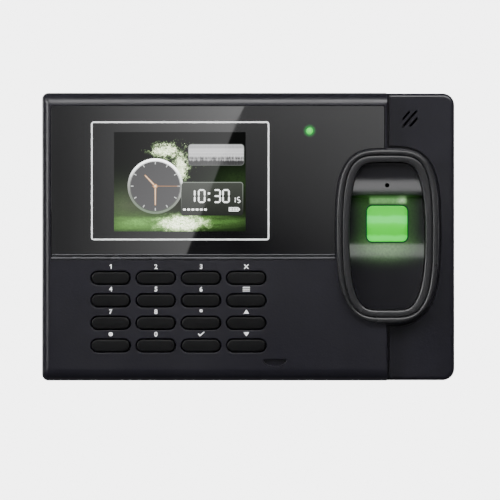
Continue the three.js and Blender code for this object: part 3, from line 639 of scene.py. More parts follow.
def clock_rim_glow(centre_x, centre_z, radius, strength):
    """The clock's metal rim: bright where it faces up and slightly to the right, dim below."""
    n = Nodes("clock_rim_light")
    across, up = n.away(centre_x, centre_z, radius * MM)
    facing = up * 0.5 + across * 0.08
    light = n.ramp(
        facing + 0.5 + n.uneven(500, -0.04, 0.04),
        (0.0, (0.05, 0.07, 0.045)), (0.3, (0.07, 0.075, 0.065)), (0.55, (0.16, 0.165, 0.155)),
        (0.85, (0.75, 0.77, 0.75)), (1.0, (1.0, 1.0, 1.0)),
    )
    return n.look(off_black(n, 0.01), 0.06, light, strength)


def window_glow():
    """The sensor's green glass, lit from behind: bright along its middle band and at its lower edge."""
    n = Nodes("sensor_glow")
    x, _, z = n.axes()
    v = (z - window.z0 * MM) / (window.height * MM)
    u = (x - window.x * MM) / (window.width / 2 * MM)
    light = n.ramp(
        v + n.uneven(260, -0.02, 0.02),
        (0.0, (0.022, 0.60, 0.024)), (0.06, (0.040, 0.86, 0.060)), (0.14, (0.042, 0.87, 0.068)),
        (0.20, (0.022, 0.58, 0.012)), (0.36, (0.022, 0.62, 0.010)), (0.48, (0.038, 0.74, 0.034)),
        (0.55, (0.066, 0.92, 0.117)), (0.68, (0.066, 0.92, 0.117)), (0.75, (0.036, 0.66, 0.028)),
        (1.0, (0.030, 0.58, 0.015)),
    )
    edge = abs(u) ** 8.0
    glass_green = n.tint((0.02, 0.08, 0.02), 0.1, n.noise(90))
    return n.look(glass_green, 0.08, light, n.remap(edge, 0.0, 1.0, 1.5, 0.9), 0.3)


def cradle_with_painted_spill():
    """Satin plastic with the sensor's light painted on as emission: green spill round the window,
    green-tinted light on the ramp below it, and a painted reflection of the glow as a bright shelf above it,
    with a glint at its right.
    """
    n = Nodes("cradle_satin_painted_spill")
    satin = n.tint((0.0062, 0.0058, 0.0080), 0.1, n.noise(55, 4.0))
    fine = n.bump(n.noise(2600, 2.0, 0.6), 0.2, FINE_RELIEF)
    across, up = n.away(window.x, window.z, MM)
    mottle = n.uneven(900, 0.8, 1.2)
    # total sums the painted spill, the painted reflection and the painted glint
    total = (0.0, 0.0, 0.0)
    for height, color in (
        # painted green spill round the window
        (soft_box(n, across, up, 0.0, 0.8, 12.6, 11.6, 4.6), (0.019, 0.072, 0.010)),
        # painted green-tinted light on the ramp below the window
        (blob(n, across, up, 0.0, -11.6, 11.5, 4.6), (0.105, 0.225, 0.078)),
        # painted reflection of the window's glow: a bright shelf above it
        (soft_box(n, across, up, 0.6, 10.5, 8.3, 1.3, 0.7), (0.150, 0.360, 0.120)),
        # painted glint at the shelf's right end
        (blob(n, across, up, 7.0, 10.6, 1.6, 1.2), (0.30, 0.36, 0.26)),
    ):
        total = n.sum(total, n.scaled(color, height * mottle))
    return n.look(satin, n.uneven(18, 0.25, 0.33, 5.0, 0.6), total, 1.0, 0.36, normal=fine)


def circuit_board():
    """Solder mask with faint tracks."""
    n = Nodes("circuit_board")
    tracks = n.add("ShaderNodeTexVoronoi", {"Vector": n.coordinates, "Scale": 260.0}, distance="MANHATTAN")
    mask = n.ramp(tracks.outputs["Distance"], (0.2, (0.012, 0.10, 0.035)), (0.5, (0.006, 0.06, 0.02)))
    return n.look(mask, n.uneven(120, 0.35, 0.5))


casing = grained("casing_plastic", (0.0100, 0.0092, 0.0142), 0.34, grain=0.9, relief=1.0, sheen=0.55)
lens_material = lens_gloss_and_painted_halo()
trim_material = grained("trim_satin", (0.085, 0.085, 0.092), 0.3, grain=0.6, relief=0.1, metallic=0.3)
rubber = grained("key_rubber", (0.0042, 0.0042, 0.0046), 0.42, grain=0.5, relief=0.5, sheen=0.25)
ring_material = grained("ring_satin", (0.020, 0.020, 0.0215), 0.30, grain=0.5, relief=0.15, sheen=0.6)
cradle_painted_spill_material = cradle_with_painted_spill()
dark_plastic = grained("dark_plastic", (0.010, 0.010, 0.011), 0.5)
steel = brushed("zinc_steel", (0.46, 0.47, 0.48), 0.36)
dark_steel = brushed("black_steel", (0.08, 0.082, 0.085), 0.4)
white_ink_painted_glow = print_white_with_painted_glow()
board_material = circuit_board()
green_plastic = grained("green_plastic", (0.03, 0.27, 0.08), 0.45)
blue_plastic = grained("blue_plastic", (0.014, 0.08, 0.33), 0.4)
orange_film = grained("orange_film", (0.38, 0.13, 0.03), 0.4)
brass = brushed("spring_brass", (0.60, 0.38, 0.12), 0.3)
silicone = grained("grey_silicone", (0.04, 0.045, 0.05), 0.6)
clear = grained("clear_acrylic", (0.45, 0.52, 0.48), 0.12, relief=0.02)


# ---------------- raised front panel


def panel_body():
    """The flat-faced slab with rolls along its top, bottom and left, and its bulge round the reader."""
    start = FACE - ROLL_DEPTH
    depths = [FACE - PANEL_THICK, start]
    depths += [start + ROLL_DEPTH * sin(radians(90 * i / 16)) for i in range(1, 17)]
    depths += [FACE - EDGE + EDGE * sin(radians(t)) for t in (0, 30, 60)]
    depths = sorted(set(round(d, 5) for d in depths))
    front_corner = 1.2
    rings = []
    for d in depths:
        rise = max(0.0, (d - start) / ROLL_DEPTH)
        inset = 1 - sqrt(max(0.0, 1 - rise * rise))
        side = max(0.0, (d - FACE + EDGE) / EDGE)
        right = EDGE * (1 - sqrt(max(0.0, 1 - side * side)))
        outline = rect(
            panel.x0 + ROLL_LEFT * inset,
            PANEL_RIGHT - right,
            panel.z0 + ROLL_BOTTOM * inset,
            panel.z1 - ROLL_TOP * inset,
            LEFT_CORNER + (front_corner - LEFT_CORNER) * inset,
            0.05,
            12,
        )
        rings.append([(x, d, z) for x, z in outline(0.0)])
    body = skin("front_panel_skin", rings)
    return add(body, loft("bulge", oval(*POD_BULGE), plate_section(FACE - PANEL_THICK, FACE, EDGE, 0.0)))


def pod_zone(grow):
    """The reader's footprint with a margin, right through the casing."""
    return through("pod_zone", oval(*RING_OUTER), 0, FAR, grow)


def panel_openings():
    """What the front panel is hollowed and opened by, apart from the keys and the notch."""
    x0, x1 = panel.x0 + PANEL_WALL, PANEL_RIGHT - PANEL_WALL
    z0, z1 = panel.z0 + PANEL_WALL, panel.z1 - PANEL_WALL
    pocket = loft("lens_pocket", lens.inside(-0.2, 1.0), hole_section(28.4, FACE, 0.12, 3))
    low, high = trim_line.z0 - 0.3, lens.z0 + 0.05
    groove = box_body("groove", trim_line.x0 - 0.3, PANEL_RIGHT - 2, FACE - 1, FAR, low, high)
    return (
        through("cavity", rect(x0, x1, z0, z1, 1.2), 20, PANEL_INSIDE),
        cut(pocket, pod_zone(0.5)),
        cut(groove, pod_zone(0.5)),
        through("display_hole", centred(glass.x, glass.z, *DISPLAY_HOLE, 0.6)),
        through("lamp_hole", circle(lamp.x, lamp.z, 1.9)),
        through("pod_hole", oval(*POD_HOLE)),
    )


def nail_notch():
    """A half-moon scoop that a thumbnail finds the service door by."""
    half_width, drop, top, deep = 5.2, 3.0, -55.7, 2.0

    def smile(offset=0.0):
        wide, low = half_width + offset, drop + offset
        turns = [pi + pi * i / 24 for i in range(1, 24)]
        arc = [(door.x + wide * cos(t), top + low * sin(t)) for t in turns]
        return [(door.x - wide, top + offset), *arc, (door.x + wide, top + offset)]

    return loft("scoop", smile, hole_section(FACE - deep, FACE, 0.4, 4))


front_panel = panel_body()
cut(front_panel, *panel_openings())
for key in KEYS:
    spot = Span(key)
    cut(front_panel, loft("key_hole", stadium(spot.x, spot.z, *KEY_HOLE), hole_section(20, FACE, 0.55, 5)))
cut(front_panel, nail_notch())
finish_piece(front_panel, casing, "casing", "front_panel")

# ---------------- glossy lens, border and divider

lens_skin = loft("lens_skin", lens.inside(0.0, 0.8), plate_section(lens.back, lens.front, 0.15, 0.0, 3))
cut(lens_skin, pod_zone(0.8), through("lamp_bore", circle(lamp.x, lamp.z, 1.75)))
finish_piece(lens_skin, lens_material, "lens", "lens_panel")

divider = loft(
    "divider_bar",
    rect(trim_line.x0, PANEL_RIGHT - 3, trim_line.z0, trim_line.z1, 0.1, None, 2),
    plate_section(trim_line.back, trim_line.front + 0.05, 0.35, 0.0, 4),
)
cut(divider, pod_zone(0.8))
finish_piece(divider, trim_material, "trim", "divider_trim")

foot_line = loft(
    "lens_foot_line",
    rect(lens.x0 + 0.3, PANEL_RIGHT - 3, lens.z0 + 0.05, lens.z0 + 0.75, 0.1, None, 2),
    plate_section(lens.front - 0.4, lens.front + 0.06, 0.25, 0.0, 3),
)
cut(foot_line, pod_zone(0.9))
finish_piece(foot_line, trim_material, "trim")

INK = 0.03  # thickness of printed layers
BORDER_WIDTH = 0.68


def fixed(points):
    """An outline that keeps its points whatever the offset."""
    return lambda offset=0.0: points


def printed_ring(name, outline, width, depth, material):
    """A printed line along an outline."""
    section = [(0, depth), (0, depth + INK), (-width, depth + INK), (-width, depth)]
    return finish_piece(band(name, outline, section), material, "lens")


def printed_shape(name, points, depth, material):
    """A printed mark on the casing."""
    return finish_piece(through(name, fixed(points), depth, depth + INK), material, "casing")


printed_ring("printed_border", rect(-71.3, 9.4, -1.6, 52.2, 1.3), BORDER_WIDTH, lens.front, white_ink_painted_glow)

# ---------------- display picture

PICTURE = lens.front  # the picture is seen at the lens's face
LAYER = 0.02  # thickness of a part of the picture


def lit_plate(name, outline, level, material):
    """A flat part of the picture, one layer above the level below it."""
    depth = PICTURE + level * LAYER
    return finish_piece(through(name, outline, depth, depth + LAYER), material, "display")


picture = lit_plate("display_picture", centred(glass.x, glass.z, *PICTURE_SIZE, 0.3), 0, display_picture())
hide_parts("display_glass")

CLOCK_X, CLOCK_Z = -42.2, 22.9
CLOCK_RIM, CLOCK_FACE = 12.55, 11.55  # radii
rim_light = clock_rim_glow(CLOCK_X, CLOCK_Z, 12.6, 4.5)
rim_inner = clock_rim_glow(CLOCK_X, CLOCK_Z, 11.6, 1.6)
face_light = clear_panel("clock_face_light", (0.112, 0.110, 0.114), CLOCK_Z + 12, CLOCK_Z - 12, 0.85, 1.05)
tick_light = glowing("clock_tick_light", (0.90, 0.92, 0.90), 1.1)
hand_light = glowing("clock_hand_light", (0.95, 0.45, 0.17), 1.0)
hand_shine = glowing("clock_hand_shine", (1.0, 0.72, 0.48), 1.9)
second_light = glowing("clock_second_light", (0.62, 0.27, 0.11), 1.0)
lit_plate("clock_rim", circle(CLOCK_X, CLOCK_Z, CLOCK_RIM, 96), 1, rim_light)
lit_plate("clock_face", circle(CLOCK_X, CLOCK_Z, CLOCK_FACE, 96), 2, face_light)
inner_edge = circle(CLOCK_X, CLOCK_Z, CLOCK_FACE - 0.05, 96)
printed_ring("clock_inner_line", inner_edge, 0.35, PICTURE + 3 * LAYER, rim_inner)


def radial_bar(angle, start, end, width_start, width_end):
    """A straight bar from the clock's centre; angle is clockwise from twelve."""
    t = radians(90 - angle)
    along, across = (cos(t), sin(t)), (-sin(t), cos(t))
    ends = ((start, -width_start), (end, -width_end), (end, width_end), (start, width_start))
    return [
        (CLOCK_X + along[0] * r + across[0] * w / 2, CLOCK_Z + along[1] * r + across[1] * w / 2)
        for r, w in ends
    ]


for hour in range(12):
    lit_plate(f"clock_tick_{hour + 1}", fixed(radial_bar(hour * 30, 9.9, 11.1, 0.42, 0.42)), 3, tick_light)
for label, angle, length, width in (("hour", -43.5, 6.9, 0.95), ("minute", 180, 8.7, 0.85)):
    bar = radial_bar(angle, -0.8, length, width, width * 0.7)
    shine = radial_bar(angle, 0.5, length - 0.4, width * 0.4, width * 0.3)
    lit_plate(f"clock_{label}_hand", fixed(bar), 4, hand_light)
    lit_plate(f"clock_{label}_shine", fixed(shine), 5, hand_shine)
lit_plate("clock_second_hand", fixed(radial_bar(90, -1.5, 10.6, 0.34, 0.26)), 4, second_light)
lit_plate("clock_hub", circle(CLOCK_X, CLOCK_Z, 1.0, 32), 6, hand_light)
lit_plate("clock_hub_cap", circle(CLOCK_X, CLOCK_Z, 0.5, 32), 7, hand_shine)

# Information blocks to the right of the clock.
lower_edge = clear_panel("block_edge_light", (0.52, 0.58, 0.50), 24.8, 11.0, 0.62, 0.04)
lower_light = clear_panel("block_light", (0.070, 0.078, 0.064), 24.8, 9.6, 1.0, 0.36)
upper_edge = clear_panel("banner_edge_light", (0.45, 0.48, 0.45), 42.2, 32.0, 0.5, 0.30)
lit_plate("block_edge", rect(-30.6, -2.4, 9.6, 24.8, 1.3), 1, lower_edge)
lit_plate("block_fill", rect(-30.3, -2.75, 9.9, 24.4, 1.0), 2, lower_light)
lit_plate("banner_edge", rect(-27.4, -1.9, 32.2, 42.0, 1.6), 1, upper_edge)
lit_plate("banner_fill", rect(-27.1, -2.2, 32.55, 41.8, 1.4), 2, banner_light())

digit_light = glowing("digit_light", (0.97, 1.0, 0.97), 2.4)
SEGMENTS = {"0": "abcdef", "1": "bc", "3": "abgcd", "5": "afgcd"}  # the bars that each digit is made of


def segment_bars(x, z, width, height, thick):
    """Corner lists of the seven bars of a digit whose lower left corner is at x, z."""
    gap, half = thick * 0.12, thick / 2
    middle = z + height / 2
    x1, z1 = x + width, z + height

    def flat(zc):
        return [
            (x + half + gap, zc), (x + thick + gap, zc - half), (x1 - thick - gap, zc - half),
            (x1 - half - gap, zc), (x1 - thick - gap, zc + half), (x + thick + gap, zc + half),
        ]

    def upright(xc, low, high):
        return [
            (xc, low + gap), (xc + half, low + half + gap), (xc + half, high - half - gap),
            (xc, high - gap), (xc - half, high - half - gap), (xc - half, low + half + gap),
        ]

    return {
        "a": flat(z1 - half), "g": flat(middle), "d": flat(z + half),
        "f": upright(x + half, middle, z1 - half), "b": upright(x1 - half, middle, z1 - half),
        "e": upright(x + half, z + half, middle), "c": upright(x1 - half, z + half, middle),
    }


def numeral(name, digit, x, z, width, height, thick):
    """A digit of the clock in one mesh; its bars are separate solids."""
    bars = segment_bars(x, z, width, height, thick)
    low, high = PICTURE + 3 * LAYER, PICTURE + 4 * LAYER
    verts, faces = [], []
    for letter in SEGMENTS[digit]:
        points = bars[letter]
        first, count = len(verts), len(points)
        verts += [(px, low, pz) for px, pz in points] + [(px, high, pz) for px, pz in points]
        faces += [tuple(first + i for i in range(count)), tuple(first + count + i for i in range(count))]
        for i in range(count):
            k = (i + 1) % count
            faces.append((first + i, first + k, first + count + k, first + count + i))
    return finish_piece(add_object(name, verts, faces), digit_light, "display")


DIGIT_Z = 15.3
TIME_DIGITS = (("1", -26.4, 2.4), ("0", -22.9, 3.4), ("3", -15.9, 3.4), ("0", -11.9, 3.4))
for i, (digit, x, width) in enumerate(TIME_DIGITS):
    numeral(f"time_digit_{i + 1}", digit, x, DIGIT_Z, width, 6.2, 0.72)
for i, z in enumerate((16.7, 19.6)):
    lit_plate(f"time_colon_{i + 1}", centred(-17.9, z, 0.95, 0.95, 0.1, 2), 3, digit_light)
for i, (digit, x, width) in enumerate((("1", -7.0, 1.2), ("5", -5.2, 1.5))):
    numeral(f"seconds_digit_{i + 1}", digit, x, DIGIT_Z, width, 2.7, 0.38)
BATTERY_X, BATTERY_Z = -6.7, 12.4
for i in range(6):
    lit_plate(f"status_bar_{i + 1}", centred(-29.0 + i * 1.9, 12.3, 1.25, 0.9, 0.2, 3), 3, digit_light)
lit_plate("battery_shell", centred(BATTERY_X, BATTERY_Z, 4.4, 1.9, 0.3, 3), 3, digit_light)
lit_plate("battery_well", centred(BATTERY_X, BATTERY_Z, 3.8, 1.3, 0.15, 3), 4, lower_light)
for i in range(3):
    lit_plate(f"battery_cell_{i + 1}", centred(-8.0 + i * 1.25, BATTERY_Z, 0.9, 0.95, 0.1, 2), 5, digit_light)
lit_plate("battery_cap", centred(-4.2, BATTERY_Z, 0.5, 0.9, 0.1, 2), 3, digit_light)

# ---------------- status light

dome = [(0, 26.6)]
dome += [(-inset, lamp.front - drop) for inset, drop in ((0, 1.0), (0.2, 0.45), (0.55, 0.15), (1.0, 0))]
lamp_body = loft("status_lamp", circle(lamp.x, lamp.z, 1.6), dome)
finish_piece(lamp_body, lamp_glow(), "lamp", "status_light")

# ---------------- keys and their legends


def key_cap(node):
    """A softly domed key, with the neck, flange and stem that hold it behind the panel."""
    spot = Span(node)
    shoulder = 30.25
    section = [(0, 27.0), (0, shoulder)]
    section += [(-inset, shoulder + rise) for inset, rise in quarter(0.55, 6)[1:]]
    section += [(-1.2, 30.82), (-2.2, 30.84), (-2.55, 30.85)]
    cap = loft(f"{node}_cap", stadium(spot.x, spot.z, *KEY_CAP, 16), section)
    for name, width, height, steps, back, front in (
        ("neck", 16.6, 4.8, 8, 26.0, 27.5),
        ("flange", 19.4, 7.8, 8, 25.5, 26.5),
        ("stem", 10.0, 3.2, 6, 22.7, 26.0),
    ):
        add(cap, through(name, stadium(spot.x, spot.z, width, height, steps), back, front))
    return finish_piece(cap, rubber, "rubber", node, body=node)


for key in KEYS:
    key_cap(key)


def numeral_text(name, text, x, z, height):
    """A printed numeral centred at x, z, as thick as the ink."""
    curve = bpy.data.curves.new(name, "FONT")
    curve.body = text
    curve.size = 1.0
    curve.offset = 0.02  # a little bolder than the font
    curve.extrude = 0.01
    curve.resolution_u = 6
    shape = linked(name, curve)
    bpy.context.view_layer.update()
    flat = bpy.data.meshes.new_from_object(shape.evaluated_get(bpy.context.evaluated_depsgraph_get()))
    bpy.data.objects.remove(shape)
    xs = [v.co.x for v in flat.vertices]
    ys = [v.co.y for v in flat.vertices]
    scale = height / (max(ys) - min(ys))
    mid_x, mid_y = (max(xs) + min(xs)) / 2, (max(ys) + min(ys)) / 2
    verts = [
        (x + (v.co.x - mid_x) * scale, FACE + (INK if v.co.z > 0 else 0.0), z + (v.co.y - mid_y) * scale)
        for v in flat.vertices
    ]
    faces = [tuple(p.vertices) for p in flat.polygons]
    bpy.data.meshes.remove(flat)
    return finish_piece(add_object(name, verts, faces), white_ink_painted_glow, "casing")


def numeral_one(name, x, z, height):
    """A printed one with a slanted flag."""
    top = height / 2
    flag = ((0.42, top), (0.06, top), (-0.48, top - 0.4), (-0.48, top - 0.84), (0.0, top - 0.54))
    corners = ((0.0, -top), (0.42, -top), *flag)
    printed_shape(name, [(x + a, z + b) for a, b in corners], FACE, white_ink_painted_glow)


LEGEND_RISE = 5.15  # from a key's middle up to its legend's
LEGEND_HEIGHT = 2.15
MENU_BAR = ((-1.6, -0.15), (1.6, -0.15), (1.6, 0.15), (-1.6, 0.15))
MARKS = {
    "key_up": [[(-1.25, -0.9), (1.25, -0.9), (0, 0.95)]],
    "key_down": [[(-1.25, 0.9), (0, -0.95), (1.25, 0.9)]],
    "key_menu": [[(a, b + rise) for a, b in MENU_BAR] for rise in (-0.85, 0, 0.85)],
    "key_escape": [
        [(-1.1, -0.85), (-0.8, -1.1), (1.1, 0.85), (0.8, 1.1)],
        [(1.1, -0.85), (0.8, -1.1), (-1.1, 0.85), (-0.8, 1.1)],
    ],
    "key_confirm": [
        [(-1.5, 0.1), (-0.55, -0.95), (-0.35, -0.35), (-1.15, 0.45)],
        [(-0.55, -0.95), (1.55, 0.85), (1.25, 1.2), (-0.6, -0.4)],
    ],
    "key_dot": [circle(0, 0, 0.95, 28)()],
}


def legend(node):
    """The numeral or mark printed above a key."""
    spot = Span(node)
    x, z = spot.x, spot.z + LEGEND_RISE
    name = f"legend_{node[4:]}"
    if node == "key_1":
        numeral_one(name, x, z, LEGEND_HEIGHT)
    elif node[4:].isdigit():
        numeral_text(name, node[4:], x, z, LEGEND_HEIGHT)
    else:
        for i, shape in enumerate(MARKS[node]):
            printed_shape(f"{name}_{i + 1}", [(x + a, z + b) for a, b in shape], FACE + 0.003 * i, white_ink_painted_glow)


for key in KEYS:
    legend(key)

# ---------------- fingerprint reader


def rounded_crest(width, low, crest, lean=0.0):
    """Front half of a ring's section, from its outside to its inside."""
    made = []
    for i in range(13):
        t = pi * i / 12
        depth = low + (crest - low) * sin(t) ** 0.6 + lean * i / 12
        made.append((width / 2 - width / 2 * cos(t), depth))
    return made


bezel_width, bezel_foot = 2.55, FACE + 0.3
bezel_section = [(0, bezel_foot)] + rounded_crest(bezel_width, 32.2, bezel.front)
bezel_section += [(bezel_width, 31.4), (5.8, 31.4), (5.8, 22.0), (3.6, 22.0), (3.6, bezel_foot)]
bezel_body = ring_body("reader_bezel_ring", *RING_OUTER, bezel_section)
finish_piece(bezel_body, ring_material, "ring", "reader_bezel")

trim_crest = rounded_crest(2.9, 32.3, 33.0, -0.25)
trim_section = [(0, 31.7)] + [(0.02 + inset, depth) for inset, depth in trim_crest] + [(2.95, 31.7)]
trim_body = ring_body("reader_trim_ring", *RING_STEP, trim_section)
finish_piece(trim_body, ring_material, "ring", "reader_trim")


BROW_TOP, BROW_CREST = 27.5, 18.3  # heights between which the brow swells forward
FIELD_TOP, FIELD_BOTTOM = 17.7, -3.0  # the sunk field round the window
RAMP_END, RAMP_SLOPE = -13.0, 0.3
RAMP_STRAIGHT = FIELD_BOTTOM - 5.5  # above this height the ramp is straight, below it eases into the pad
BROW_DEPTH, CREST_DEPTH, FIELD_DEPTH, RAMP_DEPTH = 28.9, 30.9, 26.2, 26.6
PAD_SLOPE = 0.035
MIDDLE_DISH, HIGHEST = 0.7, 31.2  # how much the sides rise above the middle line, and the most they reach


def profile_depth(z):
    """Depth of the cradle's middle line: brow, step down to the window field, ramp and pad."""
    if z > BROW_CREST:
        t = min(max((BROW_TOP - z) / (BROW_TOP - BROW_CREST), 0.0), 1.0)
        return BROW_DEPTH + (CREST_DEPTH - BROW_DEPTH) * t * t * (3 - 2 * t)
    if z > FIELD_TOP:
        return FIELD_DEPTH + (CREST_DEPTH - FIELD_DEPTH) * (z - FIELD_TOP) / (BROW_CREST - FIELD_TOP)
    if z > FIELD_BOTTOM:
        return FIELD_DEPTH + (RAMP_DEPTH - FIELD_DEPTH) * (FIELD_TOP - z) / (FIELD_TOP - FIELD_BOTTOM)
    if z > RAMP_STRAIGHT:
        return RAMP_DEPTH + RAMP_SLOPE * (FIELD_BOTTOM - z)
    easing = RAMP_STRAIGHT - RAMP_END
    t = min(RAMP_STRAIGHT - z, easing)
    sloped = FIELD_BOTTOM - RAMP_STRAIGHT + t - t * t / (2 * easing)
    return RAMP_DEPTH + RAMP_SLOPE * sloped + PAD_SLOPE * max(RAMP_END - z, 0.0)


def cradle_depth(x, z):
    """Depth of the cradle's face about the pod's centre: brow, sunk window field, ramp, dished sides."""
    reach = 0.3 if z > -1.5 else 1.0
    samples = [profile_depth(z + reach * k / 6) for k in range(-6, 7)]
    dish = MIDDLE_DISH * abs(x / RING_MOUTH[0]) ** 3
    return min(sum(samples) / len(samples) + dish, HIGHEST)


def cradle_body():
    """The dish as a grid of depths with a skirt down to a flat floor."""
    across = [-18 + 36 * i / 48 for i in range(49)]
    along = [-34.5 + 69 * i / 276 for i in range(277)]
    floor = 24.4
    count, last = len(across), len(along) - 1
    verts = [(bezel.x + x, cradle_depth(x, z), POD_Z + z) for z in along for x in across]
    faces = []
    for j in range(last):
        for a in range(j * count, j * count + count - 1):
            faces.append((a, a + 1, a + 1 + count, a + count))
    edge = list(range(count)) + [j * count + count - 1 for j in range(1, last + 1)]
    edge += [last * count + i for i in range(count - 2, -1, -1)] + [j * count for j in range(last - 1, 0, -1)]
    start = len(verts)
    verts += [(verts[i][0], floor, verts[i][2]) for i in edge]
    for i in range(len(edge)):
        k = (i + 1) % len(edge)
        faces.append((edge[i], start + i, start + k, edge[k]))
    faces.append(tuple(start + i for i in range(len(edge))))
    return add_object("reader_cradle_dish", verts, faces, smooth_angle=40)


pane_x, pane_width, pane_height = window.x + 0.2, window.width - 0.5, window.height - 0.2
cradle_dish = cradle_body()
keep(cradle_dish, through("mouth", oval(17.0, 33.2), 20))
cut(
    cradle_dish,
    through("window_slot", centred(pane_x, window.z, pane_width + 0.9, pane_height + 0.9, 2.9)),
    through("pinhole", circle(bezel.x, POD_Z + 23.1, 1.0, 32)),
)
finish_piece(cradle_dish, cradle_painted_spill_material, "reader", "reader_cradle")

gasket_outline = centred(pane_x, window.z, pane_width + 1.3, pane_height + 1.3, 3.1)
gasket_section = [(0, 25.0), (0, 26.85), (-0.12, 27.0), (-0.5, 27.0), (-0.62, 26.85), (-0.62, 25.0)]
# The seal's green glow is painted light spilling from the sensor window; the seal is no lamp.
gasket_painted_spill = glowing("gasket_painted_spill", (0.009, 0.050, 0.020), 1.0, (0.006, 0.012, 0.008), 0.4, 0.15)
gasket = band("window_gasket_seal", gasket_outline, gasket_section)
finish_piece(gasket, gasket_painted_spill, "rubber", "window_gasket")

window_body = loft(
    "sensor_window_glass",
    centred(pane_x, window.z, pane_width, pane_height, 2.5, 12),
    plate_section(24.4, window.front, 0.6, 0.0, 6),
)
finish_piece(window_body, window_glow(), "glass", "sensor_window")

# ---------------- front housing and its right-hand strip


def housing_body():
    """The main shell, with the thicker rounded strip at its right."""
    left_outline = rect(case.x0, STRIP_X + 0.5, case.z0, case.z1, LEFT_CORNER, 0.02)
    right_outline = rect(50, case.x1, case.z0, case.z1, 0.02, RIGHT_CORNER, 12)
    left = through("housing_shell", left_outline, case.back, case.front)
    right = loft("housing_strip", right_outline, plate_section(case.back, case.front, 2.0, 0.0, 8))
    return add(left, keep(right, box_body("strip_limit", STRIP_X, 120, 0, FAR, -BEYOND, BEYOND)))


def edge_groove():
    """Shadow line in the strip beside the raised panel."""
    width, gap, bottom = 1.4, 0.3, case.front - 1.9
    outer = through("groove_band", rect(50, PANEL_RIGHT + width, -80, 80, 0.02), bottom, FAR)
    add(outer, through("groove_bulge", oval(*POD_BULGE), bottom, FAR, width))
    inner = through("panel_band", rect(40, PANEL_RIGHT - gap, -BEYOND, BEYOND, 0.02), 0, FAR + 10)
    return cut(outer, add(inner, through("panel_bulge", oval(*POD_BULGE), 0, FAR + 10, -gap)))


SLOT_TURN = 49.0  # degrees from level
SLOT_WIDTH = 0.78


def slot_cutter(x, z, length):
    """A slanting sound slot with rounded ends and a softened mouth."""
    shape = stadium(0, 0, length, SLOT_WIDTH, 8)
    middle_x, middle_z = speaker.x + x, speaker.z + z
    rise, run = sin(radians(SLOT_TURN)), cos(radians(SLOT_TURN))

    def outline(offset=0.0):
        return [(middle_x + a * run - b * rise, middle_z + a * rise + b * run) for a, b in shape(offset)]

    return loft("sound_slot", outline, hole_section(20, case.front, 0.25, 3))


housing = housing_body()
cut(
    housing,
    through("housing_cavity", case.inside(SHELL_WALL, 0.8, 3.2), 0, case.front - SHELL_WALL),
    through("housing_window", rect(-78, 38, -57, 57, 3), 0),
    through("housing_pod_hole", oval(*POD_HOLE), 0),
    edge_groove(),
    slot_cutter(-1.7, 1.5, 4.9),
    slot_cutter(-0.1, 0.0, 10.2),
    slot_cutter(1.8, -1.4, 5.1),
    box_body("door_pocket", door.x0 - 0.3, door.x1 + 0.3, 9.5, 21.9, -BEYOND, -63.6),
    box_body("port_mouth", door.x - 6.85, door.x + 6.85, 12.5, 18.8, -BEYOND, -59.5),
)
finish_piece(housing, casing, "casing", "front_housing")

# ---------------- rear cover and wall plate


def corners(x, z):
    """Four places about the middle of the casing."""
    return [(-x, -z), (-x, z), (x, -z), (x, z)]


HOOKS, SCREWS, PLATE_HOLES = corners(52, 22), corners(86.5, 46), corners(60, 36)
LOCK_X, LOCK_DEPTH, LOCK_RADIUS = -40, 4.4, 3.1


def cover_body():
    """The rear cover, with a recess for the wall plate, its screw posts, hook slots, vents and lock."""
    outline = rear.inside(0, LEFT_CORNER, RIGHT_CORNER, 12)
    body = loft("rear_cover_shell", outline, plate_section(0.0, 8.0, 0.0, 1.0, 6))
    cut(body, through("cover_cavity", rear.inside(SHELL_WALL, 0.8, 3.2), 4.4, 40))
    walls = through("bay_walls", rect(-36, 36, -40, -2, 3), 2.4, 14.1)
    add(body, walls, box_body("lock_boss", -47, -33, 1.5, 7.9, -64.5, -62.1))
    tapered = [(0.0, 2.4), (0.0, 0.6), (0.4, 0.0), (1.0, -4)]
    recess = loft("plate_recess", centred(0, 0, 142, 90, 4.5), tapered)
    cut(body, recess, through("bay", rect(-34, 34, -38, -4, 2), -4))
    cut(body, box_body("tab_slot", -46.6, -33.4, -4, 4.9, -62, -44))
    for x, z in HOOKS:
        cut(body, box_body("hook_slot", x - 5.8, x + 5.8, 0, 7, z - 6, z + 1.8))
    for x, z in SCREWS:
        add(body, through("post", circle(x, z, 4.2), 2.0, 8.0))
        cut(body, loft("head_bore", circle(x, z, 3.2), [(0.6, -4), (0.6, 0.0), (0.0, 0.5), (0, 3.0)]))
        cut(body, through("shaft_bore", circle(x, z, 1.8), 2, 20))
    softened = [(0.3, -4), (0.3, 0.0), (0.0, 0.35), (0, 9)]
    for i in range(-4, 5):
        cut(body, loft("vent", centred(i * 6, 56, 2, 9, 0.95, 6), softened))
    bore = circle(LOCK_X, LOCK_DEPTH, LOCK_RADIUS, 32)()
    return cut(body, skin("lock_hole", [[(x, d, z) for x, d in bore] for z in (-80, -63.6)]))


finish_piece(cover_body(), casing, "casing", "rear_cover")


FLARED = [(0.2, -4), (0.2, 0.0), (0.0, 0.25), (0.0, 8)]  # a hole with a softened mouth at the wall


def plate_body():
    """The sheet-steel wall plate with its hooks, lock tab and screw holes."""
    body = loft("wall_plate_sheet", centred(0, 0, 140, 88, 4), plate_section(0.0, 1.5, 0.2, 0.2, 3))
    add(body, box_body("tongue", -46, -34, 0, 1.5, -61.5, -43), box_body("tab", -46, -34, 0, 7.5, -61.5, -60))
    openings = [rect(-34, 34, -38, -4, 2)] + [circle(x, z, 2.3) for x, z in PLATE_HOLES]
    for outline in openings + [stadium(x, 30, 9, 4.6) for x in (-30.15, 30.15)]:
        cut(body, loft("plate_hole", outline, FLARED))
    for x, z in HOOKS:
        foot = box_body("hook_foot", x - 5, x + 5, 1.0, 6.2, z, z + 1.5)
        add(body, foot, box_body("hook_lip", x - 5, x + 5, 4.7, 6.2, z, z + 5))
    return body


finish_piece(plate_body(), steel, "steel", "wall_plate")

# ---------------- CAD nodes shown as they are

